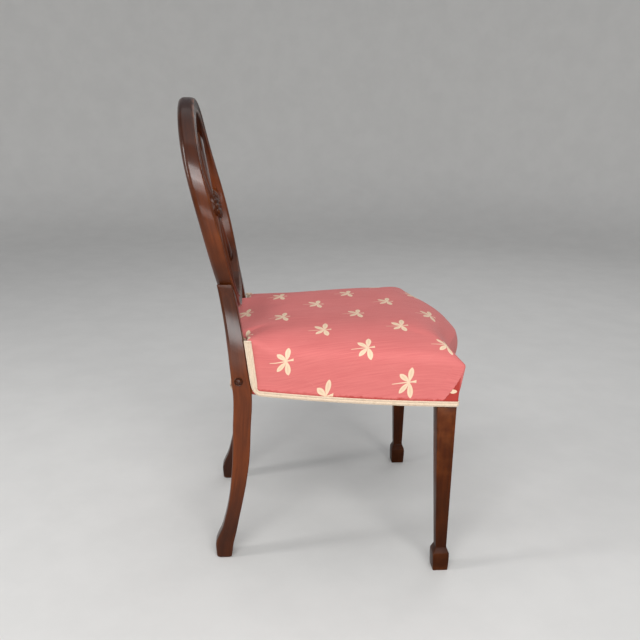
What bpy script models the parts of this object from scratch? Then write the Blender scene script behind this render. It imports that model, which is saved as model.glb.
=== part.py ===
"""Wheel back dining chair: a round spoked back on sabre back legs, and a stuffed-over serpentine seat.

Metres, +Z up. The chair faces -Y, so the sitter's right is -X. While it is being built, Y is measured
back from the front face of the front legs; at the end the chair is centred over the origin.
"""

import math

import bmesh
import bpy
from mathutils import Vector

# Clearances
FIT = 0.0003                # between pieces that touch
SOFT_GAP = 0.0006           # between the frame and the cloth drawn over it
POST_GAP = 0.0018           # between the back legs and the cloth that is cut round them

# Seat frame
RAIL_BOTTOM = 0.371         # underside of the seat rails above the floor
RAIL_HEIGHT = 0.058
RAIL_THICKNESS = 0.024
FRAME_DEPTH = 0.443         # front of the front legs to the back of the back legs, at the rails
FRONT_HALF_WIDTH = 0.275
REAR_HALF_WIDTH = 0.205
SIDE_SETBACK = 0.005        # side rails inside the outer face of the back legs
SIDE_BOW = 0.013
FRONT_BOW = 0.045
FRONT_HOLLOW = 0.006
TENON_SHOULDER = 0.007
TENON_LENGTH = 0.014
TENON_WALL = 0.003          # wood left between two tenons that meet in one leg

# Front legs, square and tapered, on spade feet
LEG_SIZE = 0.034
LEG_EDGE = 0.002            # softened corners
ANKLE_SIZE = 0.0195
ANKLE_INSET = 0.0015        # outer faces of the ankle inside those of the leg's head
SPADE_TOE = 0.0265
SPADE_SIZE = 0.029
SPADE_HEIGHT = 0.033
SPADE_BEVEL = 0.011

# Back legs, one piece from heel to hoop
BACK_LEG_WIDTH = 0.040
HEEL_WIDTH = 0.033
KNEE_DEPTH = 0.038          # front to back at the rails
HEEL_KICK = 0.038           # how far the heel stands behind the knee
STILE_WIDTH = 0.037
STILE_DEPTH = 0.031
STILE_EDGE = 0.0045
STILE_ANGLE = math.radians(47)      # where the stile meets the hoop, from the hoop's lowest point
STILE_TIP_ANGLE = math.radians(51.7)        # where the stile's blunt tip ends beside the hoop

# Curves of the back leg and back, as (share of the height, share of the size that they shape)
HEEL_CURVE = ((0, 1.0), (0.095, 1.05), (0.18, 0.71), (0.35, 0.31), (0.6, 0.08), (1, 0))
DEPTH_CURVE = ((0, 0.82), (0.095, 1.0), (0.2, 0.82), (0.35, 0.78), (0.6, 0.93), (1, 1))
RAKE_CURVE = ((0, 0), (0.28, 0.17), (0.58, 0.51), (0.8, 0.81), (1, 1))
LEG_STATIONS = (0, 0.05, 0.095, 0.135, 0.18, 0.25, 0.35, 0.47, 0.6, 0.8)

# Hoop
OVERALL_HEIGHT = 0.955
TOP_RAKE = 0.111            # how far the top of the back leans behind the rails
HOOP_LIFT = 0.005           # lowest point of the hoop above the crown of the seat
HOOP_WIDTH = 0.030
HOOP_DEPTH = 0.034
HOOP_BEAD = 0.004
HOOP_HOLLOW = 0.0052        # depth of the hollow between the two beads
HOOP_QUIRK = 0.0024         # depth of the sunk line beside a bead
HOOP_ROUND = 0.008          # rounding of the outer back edge
HOOP_INNER_ROUND = 0.0048
CREST_ANGLE = math.radians(66)      # crest joints, from the top
BASE_ANGLE = math.radians(30)       # base joints, from the lowest point
HOOP_STEP = math.radians(5)

# Wheel
SPOKE_COUNT = 8
HUB_RADIUS = 0.034
HUB_DEPTH = 0.021
HUB_SETBACK = 0.006         # hub's back forward of the hoop's
HUB_LIP = 0.0025
PATERA_RADIUS = 0.030
PATERA_DEPTH = 0.010
PATERA_PETALS = 12
PETAL_SCALLOP = 0.06        # shares by which the petals fall back between their tips
PETAL_VALLEY = 0.275
SPOKE_DEPTH = 0.016
SPOKE_SETBACK = 0.009       # spoke's back forward of the hoop's
SPOKE_RIDGE = 0.0048        # height of the ridge down the front
SPOKE_WAIST = 0.0055        # half widths of a spoke
SPOKE_HUB_FLARE = 0.0035
SPOKE_RIM_FLARE = 0.012
SPOKE_TENON = 0.009
SPOKE_TENON_HALF = 0.0045
SPOKE_TENON_DEPTH = 0.008

# Dowels, plugs and screws
DOWEL_RADIUS = 0.004
DOWEL_LENGTH = 0.036
PLUG_RADIUS = 0.0095
PLUG_DOME = 0.0045
PLUG_STEM_RADIUS = 0.0068
PLUG_STEM = 0.005
SCREW_HEAD_RADIUS = 0.0045
SCREW_HEAD = 0.003
SCREW_RADIUS = 0.0022
SCREW_LENGTH = 0.060

# Corner blocks
BLOCK_REACH = 0.050
BLOCK_HEIGHT = 0.045

# Webbing, hessian and dust cover
WEB_WIDTH = 0.050
WEB_THICKNESS = 0.0015
WEB_SPACING = 0.105
WEB_INSET = 0.006
WEB_RAMP = 0.0072           # where a strap starts to climb, ahead of the strap that it crosses
HESSIAN_THICKNESS = 0.001
HESSIAN_INSET = 0.008
DUST_COVER_THICKNESS = 0.001
DUST_COVER_INSET = 0.006

# Seat
SEAT_HEIGHT = 0.506         # top of the crown
EDGE_HEIGHT = 0.458         # where the sides start to roll over
SEAT_FALL = 0.025           # fall of the seat towards the back, per metre
SIDE_SWELL = 0.0015
EDGE_ROLL = 0.006           # how far the stuffed edge stands out over the rails
COVER_THICKNESS = 0.0016
COVER_LIFT = 0.001          # cover's lower edge above the underside of the rails
CROWN_SQUARE = 4.0          # powers of the crown's section
CROWN_ROUND = 0.4
NOTCH_START = 0.97          # shares of the seat between which the cut-outs for the back legs fade
NOTCH_END = 0.78
PAD_LAYER = 0.0026          # wadding between stuffing and cover
GIMP_WIDTH = 0.011
GIMP_THICKNESS = 0.0022
GIMP_DROP = 0.001           # braid below the underside of the rails
GIMP_CORNER = 0.007

# Carved flower on the hub, from its rim to its boss: shares of radius and depth, and how far the petals part
PATERA_PROFILE = ((1.0, 0.0, 1.0), (1.0, 0.25, 1.0), (0.86, 0.62, 1.0), (0.6, 0.66, 0.7),
                  (0.36, 0.45, 0.3), (0.32, 0.7, 0.0), (0.22, 0.95, 0.0), (0.08, 1.0, 0.0))

RAIL_TOP = RAIL_BOTTOM + RAIL_HEIGHT
HOOP_RADIUS = (OVERALL_HEIGHT - SEAT_HEIGHT - HOOP_LIFT) / 2
HOOP_CENTRE = OVERALL_HEIGHT - HOOP_RADIUS
HOOP_INNER = HOOP_RADIUS - HOOP_WIDTH
COVER_OFFSET = SOFT_GAP + COVER_THICKNESS
COVER_FOOT = RAIL_BOTTOM + COVER_LIFT
COVER_WAIST = (COVER_FOOT + EDGE_HEIGHT) / 2
SIDES = (("right", -1), ("left", 1))


# Collections, materials and objects

def clear_scene():
    for obj in list(bpy.data.objects):
        bpy.data.objects.remove(obj, do_unlink=True)
    for mesh in list(bpy.data.meshes):
        bpy.data.meshes.remove(mesh)


def new_collection(name):
    collection = bpy.data.collections.new(name)
    bpy.context.scene.collection.children.link(collection)
    return collection


def new_material(name, color, roughness, metallic=0.0):
    material = bpy.data.materials.new(name)
    material.use_nodes = True
    shader = material.node_tree.nodes["Principled BSDF"]
    shader.inputs["Base Color"].default_value = (*color, 1.0)
    shader.inputs["Roughness"].default_value = roughness
    shader.inputs["Metallic"].default_value = metallic
    return material


clear_scene()
PARTS = new_collection("wheel_back_chair")
CUTTERS = new_collection("cutters")
CHAIR = bpy.data.objects.new("chair", None)
PARTS.objects.link(CHAIR)

MAHOGANY = new_material("mahogany", (0.105, 0.024, 0.010), 0.22)
BEECH = new_material("beech", (0.42, 0.25, 0.12), 0.6)
STEEL = new_material("steel", (0.45, 0.44, 0.42), 0.35, 1.0)
JUTE = new_material("jute", (0.36, 0.25, 0.13), 0.9)
HAIR = new_material("hair", (0.30, 0.24, 0.18), 0.95)
CLOTH = new_material("coral_cloth", (0.52, 0.07, 0.05), 0.75)
BRAID = new_material("cream_braid", (0.62, 0.52, 0.36), 0.8)
CAMBRIC = new_material("black_cambric", (0.03, 0.03, 0.03), 0.9)


def add_part(name, bm, material):
    mesh = bpy.data.meshes.new(name)
    bm.to_mesh(mesh)
    bm.free()
    mesh.shade_smooth()
    mesh.set_sharp_from_angle(angle=math.radians(35))
    mesh.materials.append(material)
    part = bpy.data.objects.new(name, mesh)
    PARTS.objects.link(part)
    part.parent = CHAIR
    return part


def add_cutter(name, bm):
    mesh = bpy.data.meshes.new(name)
    bm.to_mesh(mesh)
    bm.free()
    cutter = bpy.data.objects.new(name, mesh)
    cutter.hide_render = True
    cutter.display_type = "WIRE"
    CUTTERS.objects.link(cutter)
    cutter.parent = CHAIR
    return cutter


def cut(part, cutter):
    boolean = part.modifiers.new(cutter.name, "BOOLEAN")
    boolean.operation = "DIFFERENCE"
    boolean.solver = "EXACT"
    boolean.object = cutter


# Shapes

def lerp(a, b, t):
    return a + (b - a) * t


def curve_value(points, t):
    """The value at t of a smooth curve through the points, each a (position, value) pair."""
    last = len(points) - 2
    i = next((k for k in range(last) if t < points[k + 1][0]), last)
    (t0, v0), (t1, v1) = points[i], points[i + 1]
    before = points[max(i - 1, 0)]
    after = points[min(i + 2, len(points) - 1)]
    slope0 = (v1 - before[1]) / (t1 - before[0])
    slope1 = (after[1] - v0) / (after[0] - t0)
    span = t1 - t0
    u = (t - t0) / span
    return (v0 * (1 + 2 * u) * (1 - u) ** 2 + slope0 * span * u * (1 - u) ** 2
            + v1 * u * u * (3 - 2 * u) - slope1 * span * u * u * (1 - u))


def skin(rings):
    """An open surface through rings of as many points each."""
    bm = bmesh.new()
    loops = [[bm.verts.new(point) for point in ring] for ring in rings]
    for low, high in zip(loops, loops[1:]):
        for i in range(len(low)):
            bm.faces.new((low[i - 1], low[i], high[i], high[i - 1]))
    return bm, loops


def loft(rings):
    """A solid through rings of points, closed at both ends."""
    bm, loops = skin(rings)
    bm.faces.new(loops[0])
    bm.faces.new(loops[-1])
    bmesh.ops.recalc_face_normals(bm, faces=bm.faces)
    return bm


def softened(corners, edge):
    """The outline with each corner replaced by a short curve that starts an edge length away from it."""
    outline = []
    for i, corner in enumerate(corners):
        start = corner + (corners[i - 1] - corner).normalized() * edge
        end = corner + (corners[(i + 1) % len(corners)] - corner).normalized() * edge
        outline += [start, (start + end + corner * 2) / 4, end]
    return outline


def rectangle(x0, x1, y0, y1):
    return [Vector((x0, y0)), Vector((x1, y0)), Vector((x1, y1)), Vector((x0, y1))]


def level(outline, z):
    return [Vector((point.x, point.y, z)) for point in outline]


def slab(outline, z0, z1):
    return loft([level(outline, z0), level(outline, z1)])


def turned(profile, steps=20):
    """A solid turned about Z from (radius, height) points that run down from the axis and back to it."""
    bm = bmesh.new()
    points = [bm.verts.new((radius, 0, height)) for radius, height in profile]
    edges = [bm.edges.new(pair) for pair in zip(points, points[1:])]
    bmesh.ops.spin(bm, geom=points + edges, cent=(0, 0, 0), axis=(0, 0, 1),
                   angle=math.tau, steps=steps, use_merge=True)
    bmesh.ops.remove_doubles(bm, verts=bm.verts, dist=1e-6)
    bmesh.ops.recalc_face_normals(bm, faces=bm.faces)
    return bm


def mirrored(ring, sign):
    return [Vector((point.x * sign, point.y, point.z)) for point in ring]


# Plan of the seat and side view of the back

def rear_face(z):
    """Y of the back faces of the back legs and of the hoop."""
    if z < RAIL_BOTTOM:
        return FRAME_DEPTH + HEEL_KICK * curve_value(HEEL_CURVE, z / RAIL_BOTTOM)
    share = (z - RAIL_BOTTOM) / (OVERALL_HEIGHT - RAIL_BOTTOM)
    return FRAME_DEPTH + TOP_RAKE * curve_value(RAKE_CURVE, share)


def stile_joint():
    return Vector((HOOP_RADIUS * math.sin(STILE_ANGLE), 0,
                   HOOP_CENTRE - HOOP_RADIUS * math.cos(STILE_ANGLE)))


def stile_share(z):
    return max(0.0, (z - RAIL_TOP) / (stile_joint().z - RAIL_TOP))


def post_depth(z):
    if z < RAIL_BOTTOM:
        return KNEE_DEPTH * curve_value(DEPTH_CURVE, z / RAIL_BOTTOM)
    return lerp(KNEE_DEPTH, STILE_DEPTH, (z - RAIL_BOTTOM) / (stile_joint().z - RAIL_BOTTOM))


def post_front(z):
    return rear_face(z) - post_depth(z)


def post_sides(z):
    """The inner and outer X of the left back leg at a height."""
    if z < RAIL_BOTTOM:
        return REAR_HALF_WIDTH - lerp(HEEL_WIDTH, BACK_LEG_WIDTH, z / RAIL_BOTTOM), REAR_HALF_WIDTH
    share = stile_share(z)
    centre = lerp(REAR_HALF_WIDTH - BACK_LEG_WIDTH / 2, stile_joint().x, share ** 1.5)
    half = lerp(BACK_LEG_WIDTH, STILE_WIDTH, share) / 2
    return centre - half, centre + half


def side_line(y):
    """X of the outer face of the left side rail, bowed between the back leg and the front corner."""
    back = FRAME_DEPTH - KNEE_DEPTH
    share = max(0.0, (back - y) / back)
    return (lerp(REAR_HALF_WIDTH - SIDE_SETBACK, FRONT_HALF_WIDTH, share)
            + 4 * SIDE_BOW * share * (1 - share))


def front_line(x):
    """Y of the outer face of the front rail: a bow between two hollows, level with the legs at its ends."""
    middle = (FRONT_HOLLOW - FRONT_BOW) / 2
    swing = (FRONT_HOLLOW + FRONT_BOW) / 2
    turn = math.tau - math.acos(middle / swing)
    return middle - swing * math.cos(turn * min(abs(x) / FRONT_HALF_WIDTH, 1))


def wall_offset(z):
    """How far the outside of the cover stands out from the frame at a height."""
    share = min(max((z - COVER_FOOT) / (EDGE_HEIGHT - COVER_FOOT), 0), 1)
    return COVER_OFFSET + EDGE_ROLL * share + SIDE_SWELL * (1 - abs(2 * share - 1))


def side_wall(z, inset, steps=8):
    """Plan points of the left half of the seat's wall, from the back leg to the middle of the front.

    The points lie inside the outside of the cover by the inset.
    """
    offset = wall_offset(z) - inset
    back = post_front(z) - POST_GAP - max(inset, 0)
    points = []
    for i in range(steps + 1):
        y = lerp(back, LEG_EDGE, i / steps)
        points.append(Vector((side_line(y) + offset, y)))
    heart = Vector((FRONT_HALF_WIDTH - LEG_EDGE, LEG_EDGE))
    for angle in (-math.pi / 4, -math.pi / 2):
        points.append(heart + Vector((math.cos(angle), math.sin(angle))) * (LEG_EDGE + offset))
    reach = FRONT_HALF_WIDTH - LEG_EDGE
    for i in range(1, 11):
        x = reach * (1 - i / 10)
        slope = (front_line(x + FIT) - front_line(x - FIT)) / (2 * FIT)
        normal = Vector((slope, -1)).normalized()
        points.append(Vector((x, front_line(x))) + normal * offset)
    return points


def seat_half(z, inset, notch):
    """The left half of the seat's plan, from the middle of the back to the middle of the front.

    The back corners are cut out for the back legs where notch is 1 and whole where it is 0.
    """
    inner = post_sides(z)[0] - POST_GAP - inset
    back = rear_face(z) + wall_offset(z) - inset
    wall = side_wall(z, inset)
    corner = Vector((lerp(wall[0].x, inner, notch), lerp(back, wall[0].y, notch)))
    tail = Vector((lerp(wall[0].x - BACK_LEG_WIDTH / 2, inner, notch), back))
    return [Vector((0, back)), Vector((tail.x / 2, back)), tail, corner] + wall


def seat_plan(z, inset, notch=1.0):
    half = seat_half(z, inset, notch)
    return half + [Vector((-point.x, point.y)) for point in half[-2:0:-1]]


# Legs

def front_leg_rings():
    ankle_outer = FRONT_HALF_WIDTH - ANKLE_INSET
    heart = Vector((ankle_outer - ANKLE_SIZE / 2, ANKLE_INSET + ANKLE_SIZE / 2))

    def square(size, z):
        half = size / 2
        outline = rectangle(heart.x - half, heart.x + half, heart.y - half, heart.y + half)
        outline.insert(1, (outline[0] + outline[1]) / 2)
        return level(softened(outline, LEG_EDGE), z)

    inner = FRONT_HALF_WIDTH - LEG_SIZE
    middle = FRONT_HALF_WIDTH - LEG_SIZE / 2
    head = [Vector((x, front_line(x))) for x in (inner, middle, FRONT_HALF_WIDTH)]
    head += [Vector((side_line(LEG_SIZE), LEG_SIZE)), Vector((inner, LEG_SIZE))]
    head = softened(head, LEG_EDGE)
    return [square(SPADE_TOE, 0), square(SPADE_SIZE, SPADE_HEIGHT),
            square(ANKLE_SIZE, SPADE_HEIGHT + SPADE_BEVEL), level(head, RAIL_BOTTOM), level(head, RAIL_TOP)]


def back_leg_heights():
    lower = [share * RAIL_BOTTOM for share in LEG_STATIONS]
    top = HOOP_CENTRE - HOOP_RADIUS * math.cos(STILE_TIP_ANGLE)
    upper = [lerp(RAIL_TOP, top, i / 7) for i in range(8)]
    return lower + [RAIL_BOTTOM] + upper


def back_leg_rings():
    rings = []
    for z in back_leg_heights():
        inner, outer = post_sides(z)
        outline = rectangle(inner, outer, post_front(z), rear_face(z))
        rings.append(level(softened(outline, STILE_EDGE), z))
    return rings


# Rails, each a loft from tenon to tenon

def tenon_ring(ring, grow=0.0):
    """The four points of a rail's end drawn in by the shoulders, or a little larger for a mortise."""
    middle = sum(ring, Vector()) / 4
    along = (ring[1] - ring[0]).normalized()
    across = (ring[3] - ring[0]).normalized()
    half_height = (ring[1] - ring[0]).length / 2 - TENON_SHOULDER + grow
    half_width = (ring[3] - ring[0]).length / 2 - TENON_SHOULDER + grow
    return [middle + along * half_height * up + across * half_width * over
            for up, over in ((-1, -1), (1, -1), (1, 1), (-1, 1))]


def shifted(ring, step):
    return [point + step for point in ring]


def rail_solid(stations, first_tenon, last_tenon):
    """A rail through four-point stations, with a tenon of the given step at each end."""
    first, last = tenon_ring(stations[0]), tenon_ring(stations[-1])
    return loft([shifted(first, first_tenon), first, *stations, last, shifted(last, last_tenon)])


def mortise(station, tenon):
    ring = tenon_ring(station, FIT)
    step = tenon.normalized() * FIT
    return loft([shifted(ring, -step * 2), shifted(ring, tenon + step)])


def front_rail_stations():
    end = FRONT_HALF_WIDTH - LEG_SIZE - FIT
    stations = []
    for i in range(21):
        x = lerp(-end, end, i / 20)
        front = front_line(x)
        back = front + RAIL_THICKNESS
        stations.append([Vector((x, front, RAIL_BOTTOM)), Vector((x, front, RAIL_TOP)),
                         Vector((x, back, RAIL_TOP)), Vector((x, back, RAIL_BOTTOM))])
    return stations


def front_tenon_back():
    """Y of the back of the front rail's tenons."""
    return front_line(FRONT_HALF_WIDTH - LEG_SIZE) + RAIL_THICKNESS - TENON_SHOULDER


def back_rail_stations():
    end = REAR_HALF_WIDTH - BACK_LEG_WIDTH - FIT
    inner = FRAME_DEPTH - RAIL_THICKNESS
    return [[Vector((x, rear_face(RAIL_BOTTOM), RAIL_BOTTOM)), Vector((x, rear_face(RAIL_TOP), RAIL_TOP)),
             Vector((x, inner, RAIL_TOP)), Vector((x, inner, RAIL_BOTTOM))] for x in (-end, end)]


def back_tenon_front():
    """Y of the front of the back rail's tenons."""
    return FRAME_DEPTH - RAIL_THICKNESS + TENON_SHOULDER


def side_rail_stations():
    """Stations of the left side rail, the last one raked like the back leg that it meets."""
    stations = []
    for i in range(9):
        ring = []
        for z, inward in ((RAIL_BOTTOM, 0), (RAIL_TOP, 0), (RAIL_TOP, 1), (RAIL_BOTTOM, 1)):
            y = lerp(LEG_SIZE + FIT, post_front(z) - FIT, i / 8)
            ring.append(Vector((side_line(y) - inward * RAIL_THICKNESS, y, z)))
        stations.append(ring)
    return stations


def side_tenons():
    """The steps of the side rail's tenons, which stop short of the front and back rails' tenons."""
    front = LEG_SIZE + FIT - front_tenon_back() - TENON_WALL
    back = back_tenon_front() - TENON_WALL - post_front(RAIL_TOP) + FIT
    return Vector((0, -front, 0)), Vector((0, back, 0))


# Hoop and wheel, laid out in the plane of the wheel and bent to the rake of the back

def on_wheel(radius, angle, depth):
    """A point of the wheel: angle from the top towards the left, depth forward of the back's rear face."""
    z = HOOP_CENTRE + radius * math.cos(angle)
    return Vector((radius * math.sin(angle), rear_face(z) - depth, z))


def hoop_section():
    """(Inward, forward) points of the hoop: rounded behind, and a hollow between two beads in front."""
    width, depth, bead = HOOP_WIDTH, HOOP_DEPTH, HOOP_BEAD
    outer, inner = HOOP_ROUND, HOOP_INNER_ROUND
    corner = 1 - math.sqrt(0.5)         # how near the middle of a round lies to the corner it replaces
    quirk = bead * 1.7
    back = [(0, outer), (outer * corner, outer * corner), (outer, 0),
            (width - inner, 0), (width - inner * corner, inner * corner), (width, inner)]
    bead_half = [(0, depth - bead), (bead * corner, depth - bead * corner), (bead, depth),
                 (quirk, depth - HOOP_QUIRK)]
    mirror = [(width - inward, forward) for inward, forward in bead_half]
    return back + mirror + [(width / 2, depth - HOOP_HOLLOW)] + bead_half[::-1]


def hoop_segment(start, end):
    gap = FIT / 2 / HOOP_RADIUS
    start, end = start + gap, end - gap
    steps = max(2, round((end - start) / HOOP_STEP))
    rings = []
    for i in range(steps + 1):
        angle = lerp(start, end, i / steps)
        rings.append([on_wheel(HOOP_RADIUS - inward, angle, forward) for inward, forward in hoop_section()])
    return loft(rings)


def hub_solid():
    def circle(radius, depth):
        return [on_wheel(radius, math.tau * i / 32, depth) for i in range(32)]

    back, front = HUB_SETBACK, HUB_SETBACK + HUB_DEPTH
    face = HUB_RADIUS - HUB_LIP
    return loft([circle(face, back), circle(HUB_RADIUS, back + HUB_LIP),
                 circle(HUB_RADIUS, front - HUB_LIP), circle(face, front)])


def patera_solid():
    """A round flower: petals swelling from the rim to a raised boss."""
    base = HUB_SETBACK + HUB_DEPTH + FIT
    count = PATERA_PETALS * 4
    rings = []
    for share, height, lobes in PATERA_PROFILE:
        ring = []
        for i in range(count):
            angle = math.tau * i / count
            dip = lobes * (1 - abs(math.cos(angle * PATERA_PETALS / 2)))
            radius = PATERA_RADIUS * share * (1 - PETAL_SCALLOP * dip)
            ring.append(on_wheel(radius, angle, base + PATERA_DEPTH * height * (1 - PETAL_VALLEY * dip)))
        rings.append(ring)
    return loft(rings)


def spoke_half_width(share):
    return SPOKE_WAIST + SPOKE_HUB_FLARE * (1 - share) ** 4 + SPOKE_RIM_FLARE * share ** 7


def spoke_point(turn, radius, aside, depth):
    """A point beside the centre line of a spoke."""
    x = radius * math.sin(turn) + aside * math.cos(turn)
    z = HOOP_CENTRE + radius * math.cos(turn) - aside * math.sin(turn)
    return Vector((x, rear_face(z) - depth, z))


def spoke_tenon_ring(turn, radius, grow=0.0):
    half = SPOKE_TENON_HALF + grow
    middle = SPOKE_SETBACK + SPOKE_DEPTH / 2
    near, far = middle - SPOKE_TENON_DEPTH / 2 - grow, middle + SPOKE_TENON_DEPTH / 2 + grow
    return [spoke_point(turn, radius, aside, depth)
            for aside, depth in ((-half, near), (half, near), (half, far), (0, far), (-half, far))]


def spoke_ends():
    """Where a spoke's shoulders meet the hub and the hoop at the middle of the spoke."""
    return HUB_RADIUS + FIT, HOOP_INNER * math.cos(HOOP_STEP / 2) - FIT


def spoke_solid(turn):
    start, end = spoke_ends()
    back, front = SPOKE_SETBACK, SPOKE_SETBACK + SPOKE_DEPTH
    shoulder = front - SPOKE_RIDGE
    rings = [spoke_tenon_ring(turn, start - SPOKE_TENON), spoke_tenon_ring(turn, start)]
    for i in range(10):
        share = i / 9
        half = spoke_half_width(share)
        ring = []
        for aside, depth in ((-half, back), (half, back), (half, shoulder), (0, front), (-half, shoulder)):
            radius = lerp(start, end, share)
            if i == 9:
                radius = math.sqrt(end * end - aside * aside)
            ring.append(spoke_point(turn, radius, aside, depth))
        rings.append(ring)
    rings += [spoke_tenon_ring(turn, end), spoke_tenon_ring(turn, end + SPOKE_TENON)]
    return loft(rings)


def spoke_mortise(turn, radius, reach):
    return loft([spoke_tenon_ring(turn, radius, FIT), spoke_tenon_ring(turn, radius + reach, FIT)])


def peg(start, end, radius, sides=12):
    """A round peg between two points."""
    axis = (end - start).normalized()
    across = axis.orthogonal().normalized()
    over = axis.cross(across)
    turns = [math.tau * i / sides for i in range(sides)]
    circle = [(across * math.cos(turn) + over * math.sin(turn)) * radius for turn in turns]
    return loft([[middle + step for step in circle] for middle in (start, end)])


def hoop_dowel_ends(angle):
    """Ends of the dowel across a joint of the hoop, along the hoop's own direction there."""
    middle = HOOP_RADIUS - HOOP_WIDTH / 2
    half = DOWEL_LENGTH / 2
    ends = []
    for step in (-half, half):
        x = middle * math.sin(angle) + step * math.cos(angle)
        z = HOOP_CENTRE + middle * math.cos(angle) - step * math.sin(angle)
        ends.append(Vector((x, rear_face(z) - HOOP_DEPTH / 2, z)))
    return ends


def stile_dowel_ends(sign):
    """Ends of the dowel from the hoop into a stile, inside of the tenons of the spokes."""
    angle = sign * (math.pi - STILE_ANGLE)
    depth = STILE_DEPTH / 2
    inside = HOOP_INNER + SPOKE_TENON + TENON_WALL
    return on_wheel(inside, angle, depth), on_wheel(inside + DOWEL_LENGTH, angle, depth)


def lengthened(ends, step):
    axis = (ends[1] - ends[0]).normalized() * step
    return ends[0] - axis, ends[1] + axis


# Plugs and screws through the back legs into the back rail

def rail_screw_place(sign):
    return Vector((sign * REAR_HALF_WIDTH, FRAME_DEPTH - RAIL_THICKNESS / 2, RAIL_BOTTOM + RAIL_HEIGHT / 2))


def point_outward(part, sign):
    part.location = rail_screw_place(sign)
    part.rotation_euler = (0, sign * math.pi / 2, 0)


def plug_profile(grow=0.0):
    """Down the plug from the top of its dome, which stands on the face of the leg."""
    stem = PLUG_STEM_RADIUS + grow
    foot = -PLUG_STEM - grow
    if grow:
        return ((0, grow), (stem, grow), (stem, foot), (0, foot))
    dome = [(PLUG_RADIUS * math.sin(i * math.pi / 12), FIT + PLUG_DOME * math.cos(i * math.pi / 12))
            for i in range(7)]
    return (*dome, (stem, FIT), (stem, foot), (0, foot))


def screw_profile(grow=0.0):
    """Down the screw from its head, which lies under the plug."""
    seat = -PLUG_STEM - FIT * 2
    neck = seat - SCREW_HEAD - grow
    point = seat - SCREW_LENGTH
    head, shank = SCREW_HEAD_RADIUS + grow, SCREW_RADIUS + grow
    tip = point - grow - SCREW_RADIUS
    top = seat + grow * 2
    return ((0, top), (head, top), (head, neck), (shank, neck), (shank, point), (0, tip))


# Corner blocks, cut to the inner faces of the rails and round the legs

def front_block_outline():
    inner = FRONT_HALF_WIDTH - LEG_SIZE - FIT
    behind = LEG_SIZE + FIT
    outline = []
    for i in range(5):
        x = lerp(inner - BLOCK_REACH, inner, i / 4)
        outline.append(Vector((x, front_line(x) + RAIL_THICKNESS + SOFT_GAP)))
    outline.append(Vector((inner, behind)))
    for i in range(3):
        y = lerp(behind, behind + BLOCK_REACH, i / 2)
        outline.append(Vector((side_line(y) - RAIL_THICKNESS - SOFT_GAP, y)))
    return outline


def back_block_outline():
    inner = REAR_HALF_WIDTH - BACK_LEG_WIDTH - FIT
    before = post_front(RAIL_BOTTOM) - FIT
    behind = FRAME_DEPTH - RAIL_THICKNESS - FIT
    outline = [Vector((inner - BLOCK_REACH, behind)), Vector((inner, behind)), Vector((inner, before))]
    for i in range(3):
        y = lerp(before, before - BLOCK_REACH, i / 2)
        outline.append(Vector((side_line(y) - RAIL_THICKNESS - SOFT_GAP, y)))
    return outline


# Webbing, hessian and dust cover

WEB_BASE = RAIL_TOP + FIT
WEB_STEP = WEB_THICKNESS + FIT
DECK_TOP = WEB_BASE + WEB_STEP * 2 + HESSIAN_THICKNESS
WEB_MIDDLE = FRAME_DEPTH / 2


def web_rows():
    """Y of the three straps that run from side to side."""
    return [WEB_MIDDLE + (row - 1) * WEB_SPACING for row in range(3)]


def cross_web(row):
    y = web_rows()[row]
    front, back = y - WEB_WIDTH / 2, y + WEB_WIDTH / 2
    corners = [Vector((sign * (side_line(edge) - WEB_INSET), edge))
               for sign, edge in ((-1, front), (1, front), (1, back), (-1, back))]
    return slab(corners, WEB_BASE, WEB_BASE + WEB_THICKNESS)


def long_web(column):
    """A strap from the front rail to the back rail, over and under the straps that cross it."""
    x = (column - 1) * WEB_SPACING
    left, right = x - WEB_WIDTH / 2, x + WEB_WIDTH / 2
    start = max(front_line(left), front_line(right)) + WEB_INSET
    end = FRAME_DEPTH - WEB_INSET
    ramp = WEB_WIDTH / 2 + WEB_RAMP
    stops = [(start, 0), (web_rows()[0] - ramp, 0)]
    for row, y in enumerate(web_rows()):
        lift = WEB_STEP if (row + column) % 2 else -WEB_STEP
        half = WEB_WIDTH / 2 + WEB_STEP
        stops += [(y - half, lift), (y + half, lift)]
    stops += [(web_rows()[2] + ramp, 0), (end, 0)]
    rings = []
    for y, lift in stops:
        low = WEB_BASE + lift
        high = low + WEB_THICKNESS
        rings.append([Vector((left, y, low)), Vector((right, y, low)),
                      Vector((right, y, high)), Vector((left, y, high))])
    return loft(rings)


def dust_cover_outline():
    inner = REAR_HALF_WIDTH - BACK_LEG_WIDTH - SOFT_GAP
    before = post_front(RAIL_BOTTOM) - SOFT_GAP
    leg_inner = FRONT_HALF_WIDTH - LEG_SIZE - SOFT_GAP
    half = [Vector((inner, FRAME_DEPTH - DUST_COVER_INSET)), Vector((inner, before))]
    for i in range(6):
        y = lerp(before, LEG_SIZE + SOFT_GAP, i / 5)
        half.append(Vector((side_line(y) - DUST_COVER_INSET, y)))
    for i in range(9):
        x = lerp(leg_inner, 0, i / 8)
        if i == 0:
            half.append(Vector((x, LEG_SIZE + SOFT_GAP)))
        half.append(Vector((x, front_line(x) + DUST_COVER_INSET)))
    return half + [Vector((-point.x, point.y)) for point in half[-2::-1]]


# Seat

SEAT_MIDDLE = (FRAME_DEPTH - FRONT_BOW) / 2


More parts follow.
